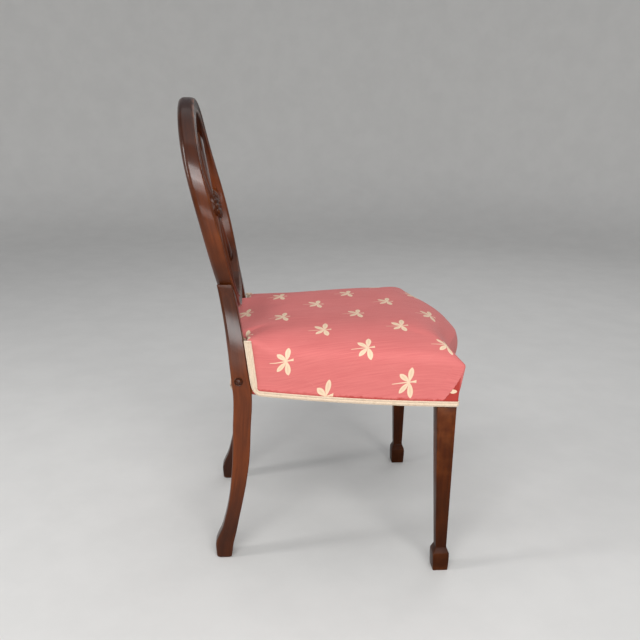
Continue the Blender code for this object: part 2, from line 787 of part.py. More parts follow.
def seat_ring(share, inset, drop):
    """A ring of the seat's upper surface: share 1 is the edge, 0 the crown."""
    rise = (1 - share ** CROWN_SQUARE) ** CROWN_ROUND
    z = lerp(EDGE_HEIGHT, SEAT_HEIGHT, rise)
    fade = min(max((share - NOTCH_END) / (NOTCH_START - NOTCH_END), 0), 1)
    notch = fade * fade * (3 - 2 * fade)
    ring = []
    for point in seat_plan(z, inset, notch):
        x = point.x * share
        y = SEAT_MIDDLE + (point.y - SEAT_MIDDLE) * share
        ring.append(Vector((x, y, z - drop - SEAT_FALL * (y - SEAT_MIDDLE))))
    return ring


def close_with_point(bm, ring, point):
    crown = bm.verts.new(point)
    for i in range(len(ring)):
        bm.faces.new((ring[i - 1], ring[i], crown))


SEAT_SHARES = (1.0, 0.985, 0.955, 0.9, 0.78, 0.55, 0.28)


def seat_cover_surface():
    rings = [level(seat_plan(z, 0), z) for z in (COVER_FOOT, COVER_WAIST)]
    rings += [seat_ring(share, 0, 0) for share in SEAT_SHARES]
    bm, loops = skin(rings)
    close_with_point(bm, loops[-1], (0, SEAT_MIDDLE, SEAT_HEIGHT))
    bmesh.ops.recalc_face_normals(bm, faces=bm.faces)
    return bm


def post_slot():
    """What is cut from the cover beside the left back leg, where the rails meet the leg."""
    layer = POST_GAP + COVER_OFFSET
    inner = post_sides(RAIL_BOTTOM)[0] - layer
    front = post_front(RAIL_BOTTOM) - layer
    outer = side_line(front) + SOFT_GAP / 2
    return [level(rectangle(inner, outer, front, rear_face(z) + SOFT_GAP / 2), z)
            for z in (RAIL_BOTTOM, RAIL_TOP + SOFT_GAP)]


def stuffing_solid():
    inset = COVER_THICKNESS + PAD_LAYER
    drop = COVER_THICKNESS + PAD_LAYER / 2
    base = DECK_TOP + FIT
    rings = [level(seat_plan(base, inset), base)]
    rings += [seat_ring(share, inset, drop) for share in SEAT_SHARES]
    bm, loops = skin(rings)
    close_with_point(bm, loops[-1], (0, SEAT_MIDDLE, SEAT_HEIGHT - drop))
    bm.faces.new(loops[0])
    bmesh.ops.recalc_face_normals(bm, faces=bm.faces)
    return bm


def wall_at(place, z, outset):
    """A point outside the seat's wall; place counts its plan points from the left back leg round to the right."""
    half = side_wall(z, -outset)
    path = half + [Vector((-point.x, point.y)) for point in half[-2::-1]]
    i = min(int(place), len(path) - 2)
    return Vector((*path[i].lerp(path[i + 1], place - i), z))


def gimp_rings():
    """The braid: down beside the left back leg, round the seat's lower edge and up beside the right one."""
    inside = SOFT_GAP
    outside = inside + GIMP_THICKNESS
    half = GIMP_WIDTH / 2
    low = RAIL_BOTTOM - GIMP_DROP + half
    reach = half + GIMP_CORNER
    wall = side_wall(low, -inside)
    first_edge = (wall[1] - wall[0]).length
    last = 2 * (len(wall) - 1)

    stops = [(half, z, 0.0) for z in (EDGE_HEIGHT, COVER_WAIST, low + reach)]
    stops += [(half + reach * (1 - math.cos(turn)), low + reach * (1 - math.sin(turn)), turn)
              for turn in (math.pi / 6, math.pi / 3, math.pi / 2)]
    left = []
    for along, z, turn in stops:
        normal = Vector((math.cos(turn), math.sin(turn))) * half
        left.append([((along + normal.x * step) / first_edge, z + normal.y * step) for step in (-1, 1)])
    middle = [[(place, low - half), (place, low + half)] for place in range(1, last)]
    right = [[(last - place, z) for place, z in stop] for stop in reversed(left)]

    rings = []
    for (place0, z0), (place1, z1) in left + middle + right:
        rings.append([wall_at(place0, z0, inside), wall_at(place0, z0, outside),
                      wall_at(place1, z1, outside), wall_at(place1, z1, inside)])
    return rings


def back_gimp_rings():
    """The braid along the lower edge of the back rail, between the back legs."""
    low = RAIL_BOTTOM - GIMP_DROP
    high = low + GIMP_WIDTH
    inside = wall_offset(high) + SOFT_GAP
    end = REAR_HALF_WIDTH - BACK_LEG_WIDTH - SOFT_GAP
    return [[Vector((x, rear_face(z) + offset, z)) for z, offset in
             ((low, inside), (low, inside + GIMP_THICKNESS), (high, inside + GIMP_THICKNESS), (high, inside))]
            for x in (-end, -end / 2, 0, end / 2, end)]


# Building

def build_legs():
    front_stations, back_stations = front_rail_stations(), back_rail_stations()
    side_stations = side_rail_stations()
    side_front, side_back = side_tenons()
    before, behind = Vector((0, 0, HOOP_CENTRE)), Vector((0, FRAME_DEPTH * 2, HOOP_CENTRE))
    hoop_seat = add_cutter("hoop_seat", peg(before, behind, HOOP_RADIUS + FIT, 96))
    for side, sign in SIDES:
        outward = Vector((sign * TENON_LENGTH, 0, 0))
        end = 0 if sign < 0 else -1
        side_first, side_last = (mirrored(side_stations[i], sign) for i in (0, -1))
        dowel_hole = peg(*lengthened(stile_dowel_ends(sign), FIT), DOWEL_RADIUS + FIT)

        front_leg = loft([mirrored(ring, sign) for ring in front_leg_rings()])
        leg = add_part(f"front_leg_{side}", front_leg, MAHOGANY)
        cut(leg, add_cutter(f"front_mortise_{side}", mortise(front_stations[end], outward)))
        cut(leg, add_cutter(f"side_mortise_front_{side}", mortise(side_first, side_front)))

        back_leg = loft([mirrored(ring, sign) for ring in back_leg_rings()])
        leg = add_part(f"back_leg_{side}", back_leg, MAHOGANY)
        cut(leg, hoop_seat)
        cut(leg, add_cutter(f"back_mortise_{side}", mortise(back_stations[end], outward)))
        cut(leg, add_cutter(f"side_mortise_back_{side}", mortise(side_last, side_back)))
        cut(leg, add_cutter(f"stile_dowel_hole_{side}", dowel_hole))
        for name, profile in (("plug_hole", plug_profile(FIT)), ("screw_hole", screw_profile(FIT))):
            hole = add_cutter(f"{name}_{side}", turned(profile))
            point_outward(hole, sign)
            cut(leg, hole)


def build_rails():
    outward = Vector((TENON_LENGTH, 0, 0))
    add_part("front_rail", rail_solid(front_rail_stations(), -outward, outward), MAHOGANY)
    back = add_part("back_rail", rail_solid(back_rail_stations(), -outward, outward), MAHOGANY)
    for side, sign in SIDES:
        cut(back, bpy.data.objects[f"screw_hole_{side}"])
        stations = [mirrored(ring, sign) for ring in side_rail_stations()]
        add_part(f"side_rail_{side}", rail_solid(stations, *side_tenons()), MAHOGANY)
        middle = RAIL_BOTTOM + RAIL_HEIGHT / 2
        for place, outline in (("front", front_block_outline()), ("back", back_block_outline())):
            corners = [Vector((point.x * sign, point.y)) for point in outline]
            block = slab(corners, middle - BLOCK_HEIGHT / 2, middle + BLOCK_HEIGHT / 2)
            add_part(f"corner_block_{place}_{side}", block, BEECH)


def build_hoop():
    base_start = math.pi - BASE_ANGLE
    segments = {"hoop_crest": (-CREST_ANGLE, CREST_ANGLE), "hoop_side_left": (CREST_ANGLE, base_start),
                "hoop_base": (base_start, math.tau - base_start),
                "hoop_side_right": (math.tau - base_start, math.tau - CREST_ANGLE)}
    parts = {name: add_part(name, hoop_segment(*span), MAHOGANY) for name, span in segments.items()}

    def cut_near(angle, cutter):
        reach = DOWEL_LENGTH / HOOP_INNER
        for name, (start, end) in segments.items():
            middle, half = (start + end) / 2, (end - start) / 2
            away = abs((angle - middle + math.pi) % math.tau - math.pi)
            if away < half + reach:
                cut(parts[name], cutter)

    for number, angle in enumerate((CREST_ANGLE, base_start, -base_start, -CREST_ANGLE), 1):
        ends = hoop_dowel_ends(angle)
        add_part(f"hoop_dowel_{number}", peg(*ends, DOWEL_RADIUS), BEECH)
        hole = peg(*lengthened(ends, FIT), DOWEL_RADIUS + FIT)
        cut_near(angle, add_cutter(f"hoop_dowel_hole_{number}", hole))
    for side, sign in SIDES:
        add_part(f"stile_dowel_{side}", peg(*stile_dowel_ends(sign), DOWEL_RADIUS), BEECH)
        cut_near(sign * (math.pi - STILE_ANGLE), bpy.data.objects[f"stile_dowel_hole_{side}"])

    hub = add_part("hub", hub_solid(), MAHOGANY)
    add_part("patera", patera_solid(), MAHOGANY)
    start, end = spoke_ends()
    for number in range(SPOKE_COUNT):
        turn = math.tau * number / SPOKE_COUNT
        add_part(f"spoke_{number + 1}", spoke_solid(turn), MAHOGANY)
        inner = spoke_mortise(turn, start - SPOKE_TENON - FIT, SPOKE_TENON * 2)
        cut(hub, add_cutter(f"hub_mortise_{number + 1}", inner))
        outer = spoke_mortise(turn, end - SPOKE_TENON, SPOKE_TENON * 2 + FIT)
        cut_near(turn, add_cutter(f"rim_mortise_{number + 1}", outer))


def build_plugs():
    for side, sign in SIDES:
        point_outward(add_part(f"leg_plug_{side}", turned(plug_profile()), MAHOGANY), sign)
        point_outward(add_part(f"rail_screw_{side}", turned(screw_profile(), 12), STEEL), sign)


def build_seat():
    for number in range(3):
        add_part(f"web_long_{number + 1}", long_web(number), JUTE)
        add_part(f"web_cross_{number + 1}", cross_web(number), JUTE)
    hessian = seat_plan(RAIL_TOP, COVER_OFFSET + HESSIAN_INSET)
    add_part("hessian", slab(hessian, DECK_TOP - HESSIAN_THICKNESS, DECK_TOP), JUTE)
    add_part("stuffing", stuffing_solid(), HAIR)
    cover = add_part("seat_cover", seat_cover_surface(), CLOTH)
    solidify = cover.modifiers.new("thickness", "SOLIDIFY")
    solidify.thickness = COVER_THICKNESS
    solidify.offset = -1
    for side, sign in SIDES:
        cut(cover, add_cutter(f"post_slot_{side}", loft([mirrored(ring, sign) for ring in post_slot()])))
    add_part("gimp_front", loft(gimp_rings()), BRAID)
    add_part("gimp_back", loft(back_gimp_rings()), BRAID)
    under = RAIL_BOTTOM - FIT
    add_part("dust_cover", slab(dust_cover_outline(), under - DUST_COVER_THICKNESS, under), CAMBRIC)


def centre_chair():
    """Moves the chair so that the middle of its depth is over the origin."""
    bpy.context.view_layer.update()
    depths = [(part.matrix_world @ Vector(corner)).y
              for part in PARTS.objects if part.type == "MESH" for corner in part.bound_box]
    CHAIR.location.y = -(min(depths) + max(depths)) / 2


build_legs()
build_rails()
build_hoop()
build_plugs()
build_seat()
centre_chair()
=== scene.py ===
import math

import bpy
import numpy as np
from mathutils import Matrix, Vector


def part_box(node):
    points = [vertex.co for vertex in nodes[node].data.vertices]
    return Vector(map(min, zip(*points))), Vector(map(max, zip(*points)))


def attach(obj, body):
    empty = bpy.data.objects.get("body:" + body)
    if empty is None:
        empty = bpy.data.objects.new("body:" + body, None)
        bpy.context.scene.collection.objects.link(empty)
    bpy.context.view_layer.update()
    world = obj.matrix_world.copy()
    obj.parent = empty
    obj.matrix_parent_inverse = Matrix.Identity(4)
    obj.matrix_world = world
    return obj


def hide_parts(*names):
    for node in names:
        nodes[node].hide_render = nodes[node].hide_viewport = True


# The looks of the wheel back chair. Metres, +Z up; the chair faces -Y and the sitter's right is -X.
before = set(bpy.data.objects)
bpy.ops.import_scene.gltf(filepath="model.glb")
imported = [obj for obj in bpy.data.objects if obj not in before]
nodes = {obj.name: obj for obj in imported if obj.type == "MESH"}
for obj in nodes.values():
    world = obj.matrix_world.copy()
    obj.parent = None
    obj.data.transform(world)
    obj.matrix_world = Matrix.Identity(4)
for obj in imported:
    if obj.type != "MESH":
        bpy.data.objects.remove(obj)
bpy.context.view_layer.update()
sides = (("right", -1), ("left", 1))
weld = 0.00002      # points closer together than this are merged


# Small tools

def deselectAll():
    if bpy.context.object and bpy.context.object.mode != "OBJECT":
        bpy.ops.object.mode_set(mode="OBJECT")
    bpy.ops.object.select_all(action="DESELECT")


def activate(piece):
    deselectAll()
    bpy.context.view_layer.objects.active = piece
    piece.select_set(True)


def editAll(piece):
    activate(piece)
    bpy.ops.object.mode_set(mode="EDIT")
    bpy.ops.mesh.select_all(action="SELECT")


def readPoints(mesh, key="co"):
    points = np.empty(len(mesh.vertices) * 3, np.float32)
    mesh.vertices.foreach_get(key, points)
    return points.reshape(-1, 3).astype(float)


def setPoints(mesh, points):
    mesh.vertices.foreach_set("co", np.asarray(points, np.float32).ravel())
    mesh.update()


def setVectors(mesh, name, vectors):
    layer = mesh.attributes.new(name, "FLOAT_VECTOR", "POINT")
    layer.data.foreach_set("vector", np.asarray(vectors, np.float32).ravel())


def nameIt(name):
    piece = bpy.context.object
    piece.name = piece.data.name = name
    return piece


def tidyMesh(piece, angle):     # merges what meets, turns the faces outwards and smooths all but sharp edges
    editAll(piece)
    bpy.ops.mesh.remove_doubles(threshold=weld)
    bpy.ops.mesh.normals_make_consistent(inside=False)
    bpy.ops.object.mode_set(mode="OBJECT")
    bpy.ops.object.shade_smooth_by_angle(angle=math.radians(angle))
    return piece


def drawOn(step, scale, centre):        # one more level on the selected face, in edit mode
    bpy.ops.mesh.extrude_region_move(TRANSFORM_OT_translate={"value": step})
    bpy.ops.transform.resize(value=scale, center_override=centre)


def closeRound(rings):
    rings = np.asarray(rings, float)
    return np.concatenate([rings, rings[:, :1]], axis=1)


def gridPiece(name, rings, angle, vectors=None):
    # a grid primitive bent through closed rings of points; a ring on one spot closes an end
    rings = closeRound(rings)
    rows, columns = rings.shape[:2]
    deselectAll()
    bpy.ops.mesh.primitive_grid_add(x_subdivisions=columns - 1, y_subdivisions=rows - 1, size=2)
    piece = nameIt(name)
    flat = readPoints(piece.data)
    column = np.rint((flat[:, 0] + 1) / 2 * (columns - 1)).astype(int)
    row = np.rint((flat[:, 1] + 1) / 2 * (rows - 1)).astype(int)
    setPoints(piece.data, rings[row, column])
    for key, values in (vectors or {}).items():
        setVectors(piece.data, key, closeRound(values)[row, column])
    for layer in list(piece.data.uv_layers):
        piece.data.uv_layers.remove(layer)
    return tidyMesh(piece, angle)


def closedEnds(rings, start=True):      # adds a ring on one spot at the end, and at the start too
    rings = np.asarray(rings, float)
    spots = np.repeat(rings.mean(axis=1, keepdims=True), rings.shape[1], axis=1)
    return np.concatenate([spots[:1] if start else spots[:0], rings, spots[-1:]])


def addModifier(piece, kind, **settings):
    modifier = piece.modifiers.new(kind.lower(), kind)
    for key, value in settings.items():
        setattr(modifier, key, value)
    activate(piece)
    bpy.ops.object.modifier_apply(modifier=modifier.name)


def setMaterial(piece, material):
    piece.data.materials.clear()
    piece.data.materials.append(material)


def finishPiece(piece, material, slot, *replaced):
    setMaterial(piece, material)
    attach(piece, "root")
    if replaced:
        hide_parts(*replaced)
    return piece


def faceArea(piece):
    return sum(face.area for face in piece.data.polygons)


def mix(a, b, t):
    return a + (b - a) * t


def fade(value, start, end):        # a smooth step from 0 at start to 1 at end
    t = np.clip((value - start) / (end - start), 0, 1)
    return t * t * (3 - 2 * t)


def runLength(points):      # the distance along a line of points, at each of them
    return np.concatenate([[0], np.cumsum(np.linalg.norm(np.diff(points, axis=0), axis=1))])


def pointsAt(points, at):       # the points at such distances along a line
    along = runLength(points)
    return np.column_stack([np.interp(at, along, values) for values in points.T])


def evenRing(values, turns):        # evens what stands round a ring
    for _ in range(turns):
        values = (np.roll(values, 1, axis=0) + 2 * values + np.roll(values, -1, axis=0)) / 4
    return values


def smoothThrough(stations, values, at):        # a cubic curve through values at rising stations
    at = np.atleast_1d(at)
    slopes = np.gradient(values, stations, axis=0)
    i = np.clip(np.searchsorted(stations, at, side="right") - 1, 0, len(stations) - 2)
    span = stations[i + 1] - stations[i]
    u = np.clip((at - stations[i]) / span, 0, 1)[:, None]
    span = span[:, None]
    return (values[i] * (1 + 2 * u) * (1 - u) ** 2 + slopes[i] * span * u * (1 - u) ** 2
            + values[i + 1] * u * u * (3 - 2 * u) - slopes[i + 1] * span * u * u * (1 - u))


# What is measured on the frame

measure = {"ringCorners": 12, "tipSteps": 12, "inside": 0.0001, "near": 0.0002,
           "lineTurns": 6, "lineDegree": 6, "lineSlack": 0.0003}


def nodePoints(name):
    return np.unique(readPoints(nodes[name].data).round(6), axis=0)


def sliceBox(name, height):     # (x low, x high, y low, y high) of a node's section at a height
    mesh = nodes[name].data
    mesh.calc_loop_triangles()
    corners = np.empty(len(mesh.loop_triangles) * 3, np.int32)
    mesh.loop_triangles.foreach_get("vertices", corners)
    triangles = readPoints(mesh)[corners.reshape(-1, 3)]
    found = []
    for a, b in ((0, 1), (1, 2), (2, 0)):
        start, end = triangles[:, a], triangles[:, b]
        below, above = start[:, 2] - height, end[:, 2] - height
        across = below * above < 0
        share = (below[across] / (below[across] - above[across]))[:, None]
        found.append(mix(start[across], end[across], share))
    x, y, _ = np.concatenate(found).T
    return x.min(), x.max(), y.min(), y.max()


def sectionBoxes(name, tipSteps=1):     # at a node's rings, and closer together up to a cut tip
    heights, counts = np.unique(nodePoints(name)[:, 2].round(4), return_counts=True)
    heights = heights[counts >= measure["ringCorners"]]
    heights = np.concatenate([heights, np.linspace(heights[-1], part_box(name)[1].z, tipSteps)[1:]])
    inside = np.clip(heights, heights[0] + measure["inside"], heights[-1] - measure["inside"])
    return heights, np.array([sliceBox(name, height) for height in inside])


postHeights, postBoxes = sectionBoxes("back_leg_left", measure["tipSteps"])


def postAt(height):     # (inner x, outer x, front y, back y) of the left back leg
    return smoothThrough(postHeights, postBoxes, height)


hoopNodes = ("hoop_crest", "hoop_side_left", "hoop_base", "hoop_side_right")
wheelTop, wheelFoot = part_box("hoop_crest")[1].z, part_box("hoop_base")[0].z
wheelHeight, wheelRadius = (wheelTop + wheelFoot) / 2, (wheelTop - wheelFoot) / 2


def fitRearLine():      # y of the back's rear face against height, through the rearmost corners of the hoop
    points = np.concatenate([nodePoints(name) for name in hoopNodes])
    turns = np.degrees(np.arctan2(points[:, 0], points[:, 2] - wheelHeight)).round(1)
    rear = []
    for turn in np.unique(turns):
        ring = points[turns == turn]
        rear.append(ring[ring[:, 1].argmax()])
    rear = np.array(rear)
    for _ in range(measure["lineTurns"]):
        line = np.polynomial.Polynomial.fit(rear[:, 2], rear[:, 1], measure["lineDegree"])
        rear = rear[rear[:, 1] > line(rear[:, 2]) - measure["lineSlack"]]
    return line


rearLine = fitRearLine()
railBottom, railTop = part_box("side_rail_left")[0].z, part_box("side_rail_left")[1].z
frontHalf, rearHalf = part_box("front_leg_left")[1].x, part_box("back_leg_left")[1].x
print("frame measured: wheel", round(wheelRadius, 4), "rails", round(railBottom, 4), round(railTop, 4))


# Shader nodes

class Wire:     # an output of a node, so that sums of them are written as sums
    def __init__(self, tree, socket):
        self.tree = tree
        self.socket = socket

    def __add__(self, other):
        return calc("ADD", self, other)

    def __sub__(self, other):
        return calc("SUBTRACT", self, other)

    def __rsub__(self, other):
        return calc("SUBTRACT", other, self)

    def __mul__(self, other):
        return calc("MULTIPLY", self, other)

    def __truediv__(self, other):
        return calc("DIVIDE", self, other)

    def __abs__(self):
        return calc("ABSOLUTE", self)


def plug(value, socket):
    if isinstance(value, Wire):
        value.tree.links.new(value.socket, socket)
    else:
        socket.default_value = value


def feed(node, inputs):
    for key, value in inputs.items():
        plug(value, node.inputs[key])


def treeOf(values):
    return next(value.tree for value in values if isinstance(value, Wire))


def addNode(tree, kind, inputs=None, output=0, **settings):
    node = tree.nodes.new(kind)
    for key, value in settings.items():
        setattr(node, key, value)
    feed(node, inputs or {})
    return Wire(tree, node.outputs[output])


def calc(operation, *values):
    return addNode(treeOf(values), "ShaderNodeMath", dict(enumerate(values)), operation=operation)


def largest(first, *others):
    for other in others:
        first = calc("MAXIMUM", first, other)
    return first


def blendColor(share, first, second, mode="MIX"):
    inputs = {0: share, 6: first, 7: second}
    return addNode(treeOf(inputs.values()), "ShaderNodeMix", inputs, 2, data_type="RGBA", blend_type=mode)


def rise(value, low, high, first=0.0, last=1.0):        # a smooth step from first to last
    inputs = dict(enumerate((value, low, high, first, last)))
    return addNode(value.tree, "ShaderNodeMapRange", inputs, interpolation_type="SMOOTHSTEP")


def between(share, first, last):        # a straight line from first to last
    return addNode(share.tree, "ShaderNodeMapRange", {"Value": share, "To Min": first, "To Max": last})


def noise(vector, scale, detail=3.0, roughness=0.5):
    inputs = {"Vector": vector, "Scale": scale, "Detail": detail, "Roughness": roughness}
    return addNode(vector.tree, "ShaderNodeTexNoise", inputs, "Fac")


def stretch(vector, scale):
    return addNode(vector.tree, "ShaderNodeMapping", {"Vector": vector, "Scale": scale}, "Vector")


def splitAxes(vector):
    node = vector.tree.nodes.new("ShaderNodeSeparateXYZ")
    plug(vector, node.inputs[0])
    return [Wire(vector.tree, socket) for socket in node.outputs]


def objectPlace(tree):
    return addNode(tree, "ShaderNodeTexCoord", output="Object")


def attribute(tree, name, output="Vector"):
    return addNode(tree, "ShaderNodeAttribute", output=output, attribute_name=name)


def newGroup(name, inputs, outputs):        # None stands for a vector, four numbers for a colour
    group = bpy.data.node_groups.new(name, "ShaderNodeTree")
    for title, value in inputs.items():
        kind = "Vector" if value is None else "Color" if isinstance(value, tuple) else "Float"
        socket = group.interface.new_socket(name=title, in_out="INPUT", socket_type="NodeSocket" + kind)
        if value is not None:
            socket.default_value = value
    for title in outputs:
        kind = "Color" if title == "Color" else "Float"
        group.interface.new_socket(name=title, in_out="OUTPUT", socket_type="NodeSocket" + kind)
    start, end = group.nodes.new("NodeGroupInput"), group.nodes.new("NodeGroupOutput")
    return group, {title: Wire(group, start.outputs[title]) for title in inputs}, end


def useGroup(group, inputs):
    tree = treeOf(inputs.values())
    node = tree.nodes.new("ShaderNodeGroup")
    node.node_tree = group
    feed(node, inputs)
    return {socket.name: Wire(tree, socket) for socket in node.outputs}


def newMaterial(name, constants):
    material = bpy.data.materials.new(name)
    material.use_nodes = True
    shader = material.node_tree.nodes["Principled BSDF"]
    feed(shader, constants)
    return material, material.node_tree, shader


def setBump(shader, height, strength, distance):
    inputs = {"Height": height, "Strength": strength, "Distance": distance}
    plug(addNode(height.tree, "ShaderNodeBump", inputs, "Normal"), shader.inputs["Normal"])


# Wood: streaked along the first axis of its coordinates

polishedWood = {"deep": (0.105, 0.0215, 0.0036, 1), "warm": (0.172, 0.0365, 0.006, 1),
                "dark": (0.045, 0.0105, 0.0032, 1), "rubbedAndGlint": (0.30, 0.082, 0.018, 1),
                "coatIor": 1.5, "sheen": 0.12, "coatRough": 0.16, "coat": (1.0, 0.72), "rough": (0.3, 0.46),
                "wornAndLit": 0.55, "uneven": 0.06, "unevenScale": 11.0, "bump": (0.16, 0.0004)}
plainWood = {"deep": (0.36, 0.21, 0.10, 1), "warm": (0.50, 0.32, 0.17, 1), "dark": (0.22, 0.12, 0.06, 1),
             "rough": (0.55, 0.75), "bump": (0.3, 0.0005)}
# painted light and shade: the wood is darker towards the foot and at the crest, lighter between
heightShading = ((0.0, 0.34), (0.05, 0.42), (0.11, 0.62), (0.2, 0.90), (0.3, 1.0), (0.4, 0.95), (0.46, 0.85),
          (0.52, 0.42), (0.6, 0.45), (0.65, 0.8), (0.7, 0.95), (0.76, 0.9), (0.82, 0.55), (0.88, 0.32),
          (0.955, 0.22))        # (height, how light the wood is painted there): painted light and shade by height
polish = ((0.0, 0.3), (0.41, 0.35), (0.455, 1.0), (0.525, 1.0), (0.55, 0.3), (0.70, 0.3), (0.765, 0.2),
          (0.80, 1.0), (0.87, 1.0), (0.91, 0.4))        # (height, how much coat is left there)


def makeWoodGroup():
    colors = {"Deep": polishedWood["deep"], "Warm": polishedWood["warm"], "Dark": polishedWood["dark"]}
    group, given, result = newGroup("woodGrain", {"Vector": None, **colors}, ("Color", "Height", "Polish"))
    vector = given["Vector"]
    wander = (noise(stretch(vector, (1.6, 9, 9)), 2.0, 2.0) - 0.5) * 0.02
    push = addNode(group, "ShaderNodeCombineXYZ", {"X": 0.0, "Y": wander, "Z": wander})
    moved = addNode(group, "ShaderNodeVectorMath", {0: vector, 1: push}, operation="ADD")
    streak = noise(stretch(moved, (5, 170, 170)), 1.0, 4.0, 0.62)
    band = noise(stretch(moved, (1.3, 42, 42)), 1.0, 2.0)
    cloud = noise(stretch(vector, (7, 16, 16)), 1.0, 2.0)
    pit = rise(noise(stretch(moved, (70, 1500, 1500)), 1.0, 2.0, 0.6), 0.62, 0.70)
    color = blendColor(rise(streak * 0.55 + band * 0.45, 0.36, 0.64), given["Deep"], given["Warm"])
    color = blendColor(rise(cloud, 0.62, 0.34, 0.0, 0.55), color, given["Dark"])
    color = blendColor(pit * 0.55, color, given["Dark"])
    feed(result, {"Color": color, "Height": streak * 0.25 - pit, "Polish": rise(cloud, 0.3, 0.7)})
    return group


def makeWearAndLightGroup():        # brightens rounded edges in patches, as wear and painted highlight, and darkens what lies deep in a moulding, as grime and painted shade
    inputs = {"Color": (0.5, 0.5, 0.5, 1), "Vector": None, "RubbedAndGlint": (0.3, 0.1, 0.03, 1),
              "GrimeAndShade": (0.01, 0.005, 0.004, 1), "Amount": 0.5}
    group, given, result = newGroup("edgeWearAndLight", inputs, ("Color",))
    point = addNode(group, "ShaderNodeNewGeometry", output="Pointiness")
    patch = rise(noise(given["Vector"], 38.0), 0.35, 0.7)
    color = blendColor(rise(point, 0.515, 0.56) * patch * given["Amount"], given["Color"], given["RubbedAndGlint"])
    feed(result, {"Color": blendColor(rise(point, 0.49, 0.44) * 0.7, color, given["GrimeAndShade"])})
    return group


woodGroup, wearAndLightGroup = makeWoodGroup(), makeWearAndLightGroup()


def woodGrain(vector, look):
    colors = {"Deep": look["deep"], "Warm": look["warm"], "Dark": look["dark"]}
    return useGroup(woodGroup, {"Vector": vector, **colors})


def darker(look, share):
    colors = ("deep", "warm", "dark", "rubbedAndGlint")
    return {**look, **{key: tuple(share * c for c in look[key][:3]) + (1,) for key in colors}}


def ramp(value, stops):     # grey levels at places between 0 and 1
    wire = addNode(value.tree, "ShaderNodeValToRGB", {"Fac": value}, "Color")
    elements = wire.socket.node.color_ramp.elements
    for i, (place, level) in enumerate(stops):
        spot = elements[i] if i < 2 else elements.new(place)
        spot.position = place
        spot.color = (level, level, level, 1)
    return wire


def makePolishedWood(name, look, grainTurn=None):
    # grainTurn lays the grain of a piece that has no grainCoord
    constants = {"Coat Roughness": look["coatRough"], "Coat IOR": look["coatIor"], "IOR": 1.5,
                 "Specular IOR Level": look["sheen"]}
    material, tree, shader = newMaterial(name, constants)
    place = objectPlace(tree)
    if grainTurn is None:
        vector = attribute(tree, "grainCoord")
    else:
        vector = addNode(tree, "ShaderNodeMapping", {"Vector": place, "Rotation": grainTurn}, "Vector")
    grain = woodGrain(vector, look)
    height = splitAxes(place)[2]
    uneven = (noise(place, look["unevenScale"], 2.0) - 0.5) * look["uneven"]
    # painted light and shade: the grain darkened by height
    heightShaded = blendColor(1.0, grain["Color"], ramp(height + uneven, heightShading), "MULTIPLY")
    # rubbed edges lightened as wear and painted highlight, hollows darkened as grime and painted shade
    wornAndLit = useGroup(wearAndLightGroup, {"Color": heightShaded, "Vector": vector, "RubbedAndGlint": look["rubbedAndGlint"],
                                "Amount": look["wornAndLit"]})
    feed(shader, {"Base Color": wornAndLit["Color"], "Roughness": between(grain["Polish"], *look["rough"]),
                  "Coat Weight": between(grain["Polish"], *look["coat"]) * ramp(height, polish)})
    setBump(shader, grain["Height"], *look["bump"])
    return material


def makeBareWood():
    material, tree, shader = newMaterial("bareBeech", {"IOR": 1.45})
    grain = woodGrain(objectPlace(tree), plainWood)
    feed(shader, {"Base Color": grain["Color"], "Roughness": between(grain["Polish"], *plainWood["rough"])})
    setBump(shader, grain["Height"], *plainWood["bump"])
    return material


def makeScrewSteel():
    material, tree, shader = newMaterial("screwSteel", {"Metallic": 1.0})
    spots = noise(objectPlace(tree), 260.0, 4.0)
    color = blendColor(rise(spots, 0.45, 0.65), (0.42, 0.40, 0.37, 1), (0.20, 0.13, 0.08, 1))
    feed(shader, {"Base Color": color, "Roughness": rise(spots, 0.4, 0.7, 0.32, 0.7)})
    return material


mahogany = makePolishedWood("mahogany", polishedWood)
# painted shade: the front legs get a darker copy of the mahogany, with a weaker coat
shadedLegWood = {**darker(polishedWood, 0.62), "coatIor": 1.25, "sheen": 0.05}
shadedLegMahogany = makePolishedWood("mahoganyLegsShaded", shadedLegWood)
# painted shade: a darker copy of the mahogany for the plugs and the wheel's hub and flower
shadedMahogany = makePolishedWood("mahoganyShaded", darker(polishedWood, 0.5))
railWood = {"X": makePolishedWood("mahoganyX", polishedWood, (0, 0, 0)),
            "Y": makePolishedWood("mahoganyY", polishedWood, (0, 0, -math.pi / 2))}
beech = makeBareWood()
screwSteel = makeScrewSteel()
plankStep = np.array((0.73, 0.131, 0.217))
grainCount = 0


def setGrain(piece, vectors):       # each piece is cut from its own place in the plank
    global grainCount
    grainCount += 1
    setVectors(piece.data, "grainCoord", vectors + plankStep * grainCount)


print("wood materials made")


# Back legs

backLeg = {"frontEdge": 0.0026, "rearEdge": 0.0062, "stileRearEdge": 0.0068, "footEdge": 0.003,
           "cornerSteps": 6, "widestEdge": 0.46, "stations": 118, "tipRound": 0.0022, "tipTurn": (15, 90, 6),
           "tipEase": 1.6, "plankStep": (0.31, 0.12, 0.08)}


def roundedBox(box, frontEdge, rearEdge):       # plan of a box with rounded corners
    low, high, front, back = box
    limit = backLeg["widestEdge"] * min(high - low, back - front)
    points = []
    for x, y, edge, start in ((low, front, frontEdge, 180), (high, front, frontEdge, 270),
                              (high, back, rearEdge, 0), (low, back, rearEdge, 90)):
        edge = min(edge, limit)
        heart = (x + edge if x == low else x - edge, y + edge if y == front else y - edge)
        turn = np.radians(np.linspace(start, start + 90, backLeg["cornerSteps"]))
        points.append(heart + edge * np.column_stack([np.cos(turn), np.sin(turn)]))
    return np.concatenate(points)


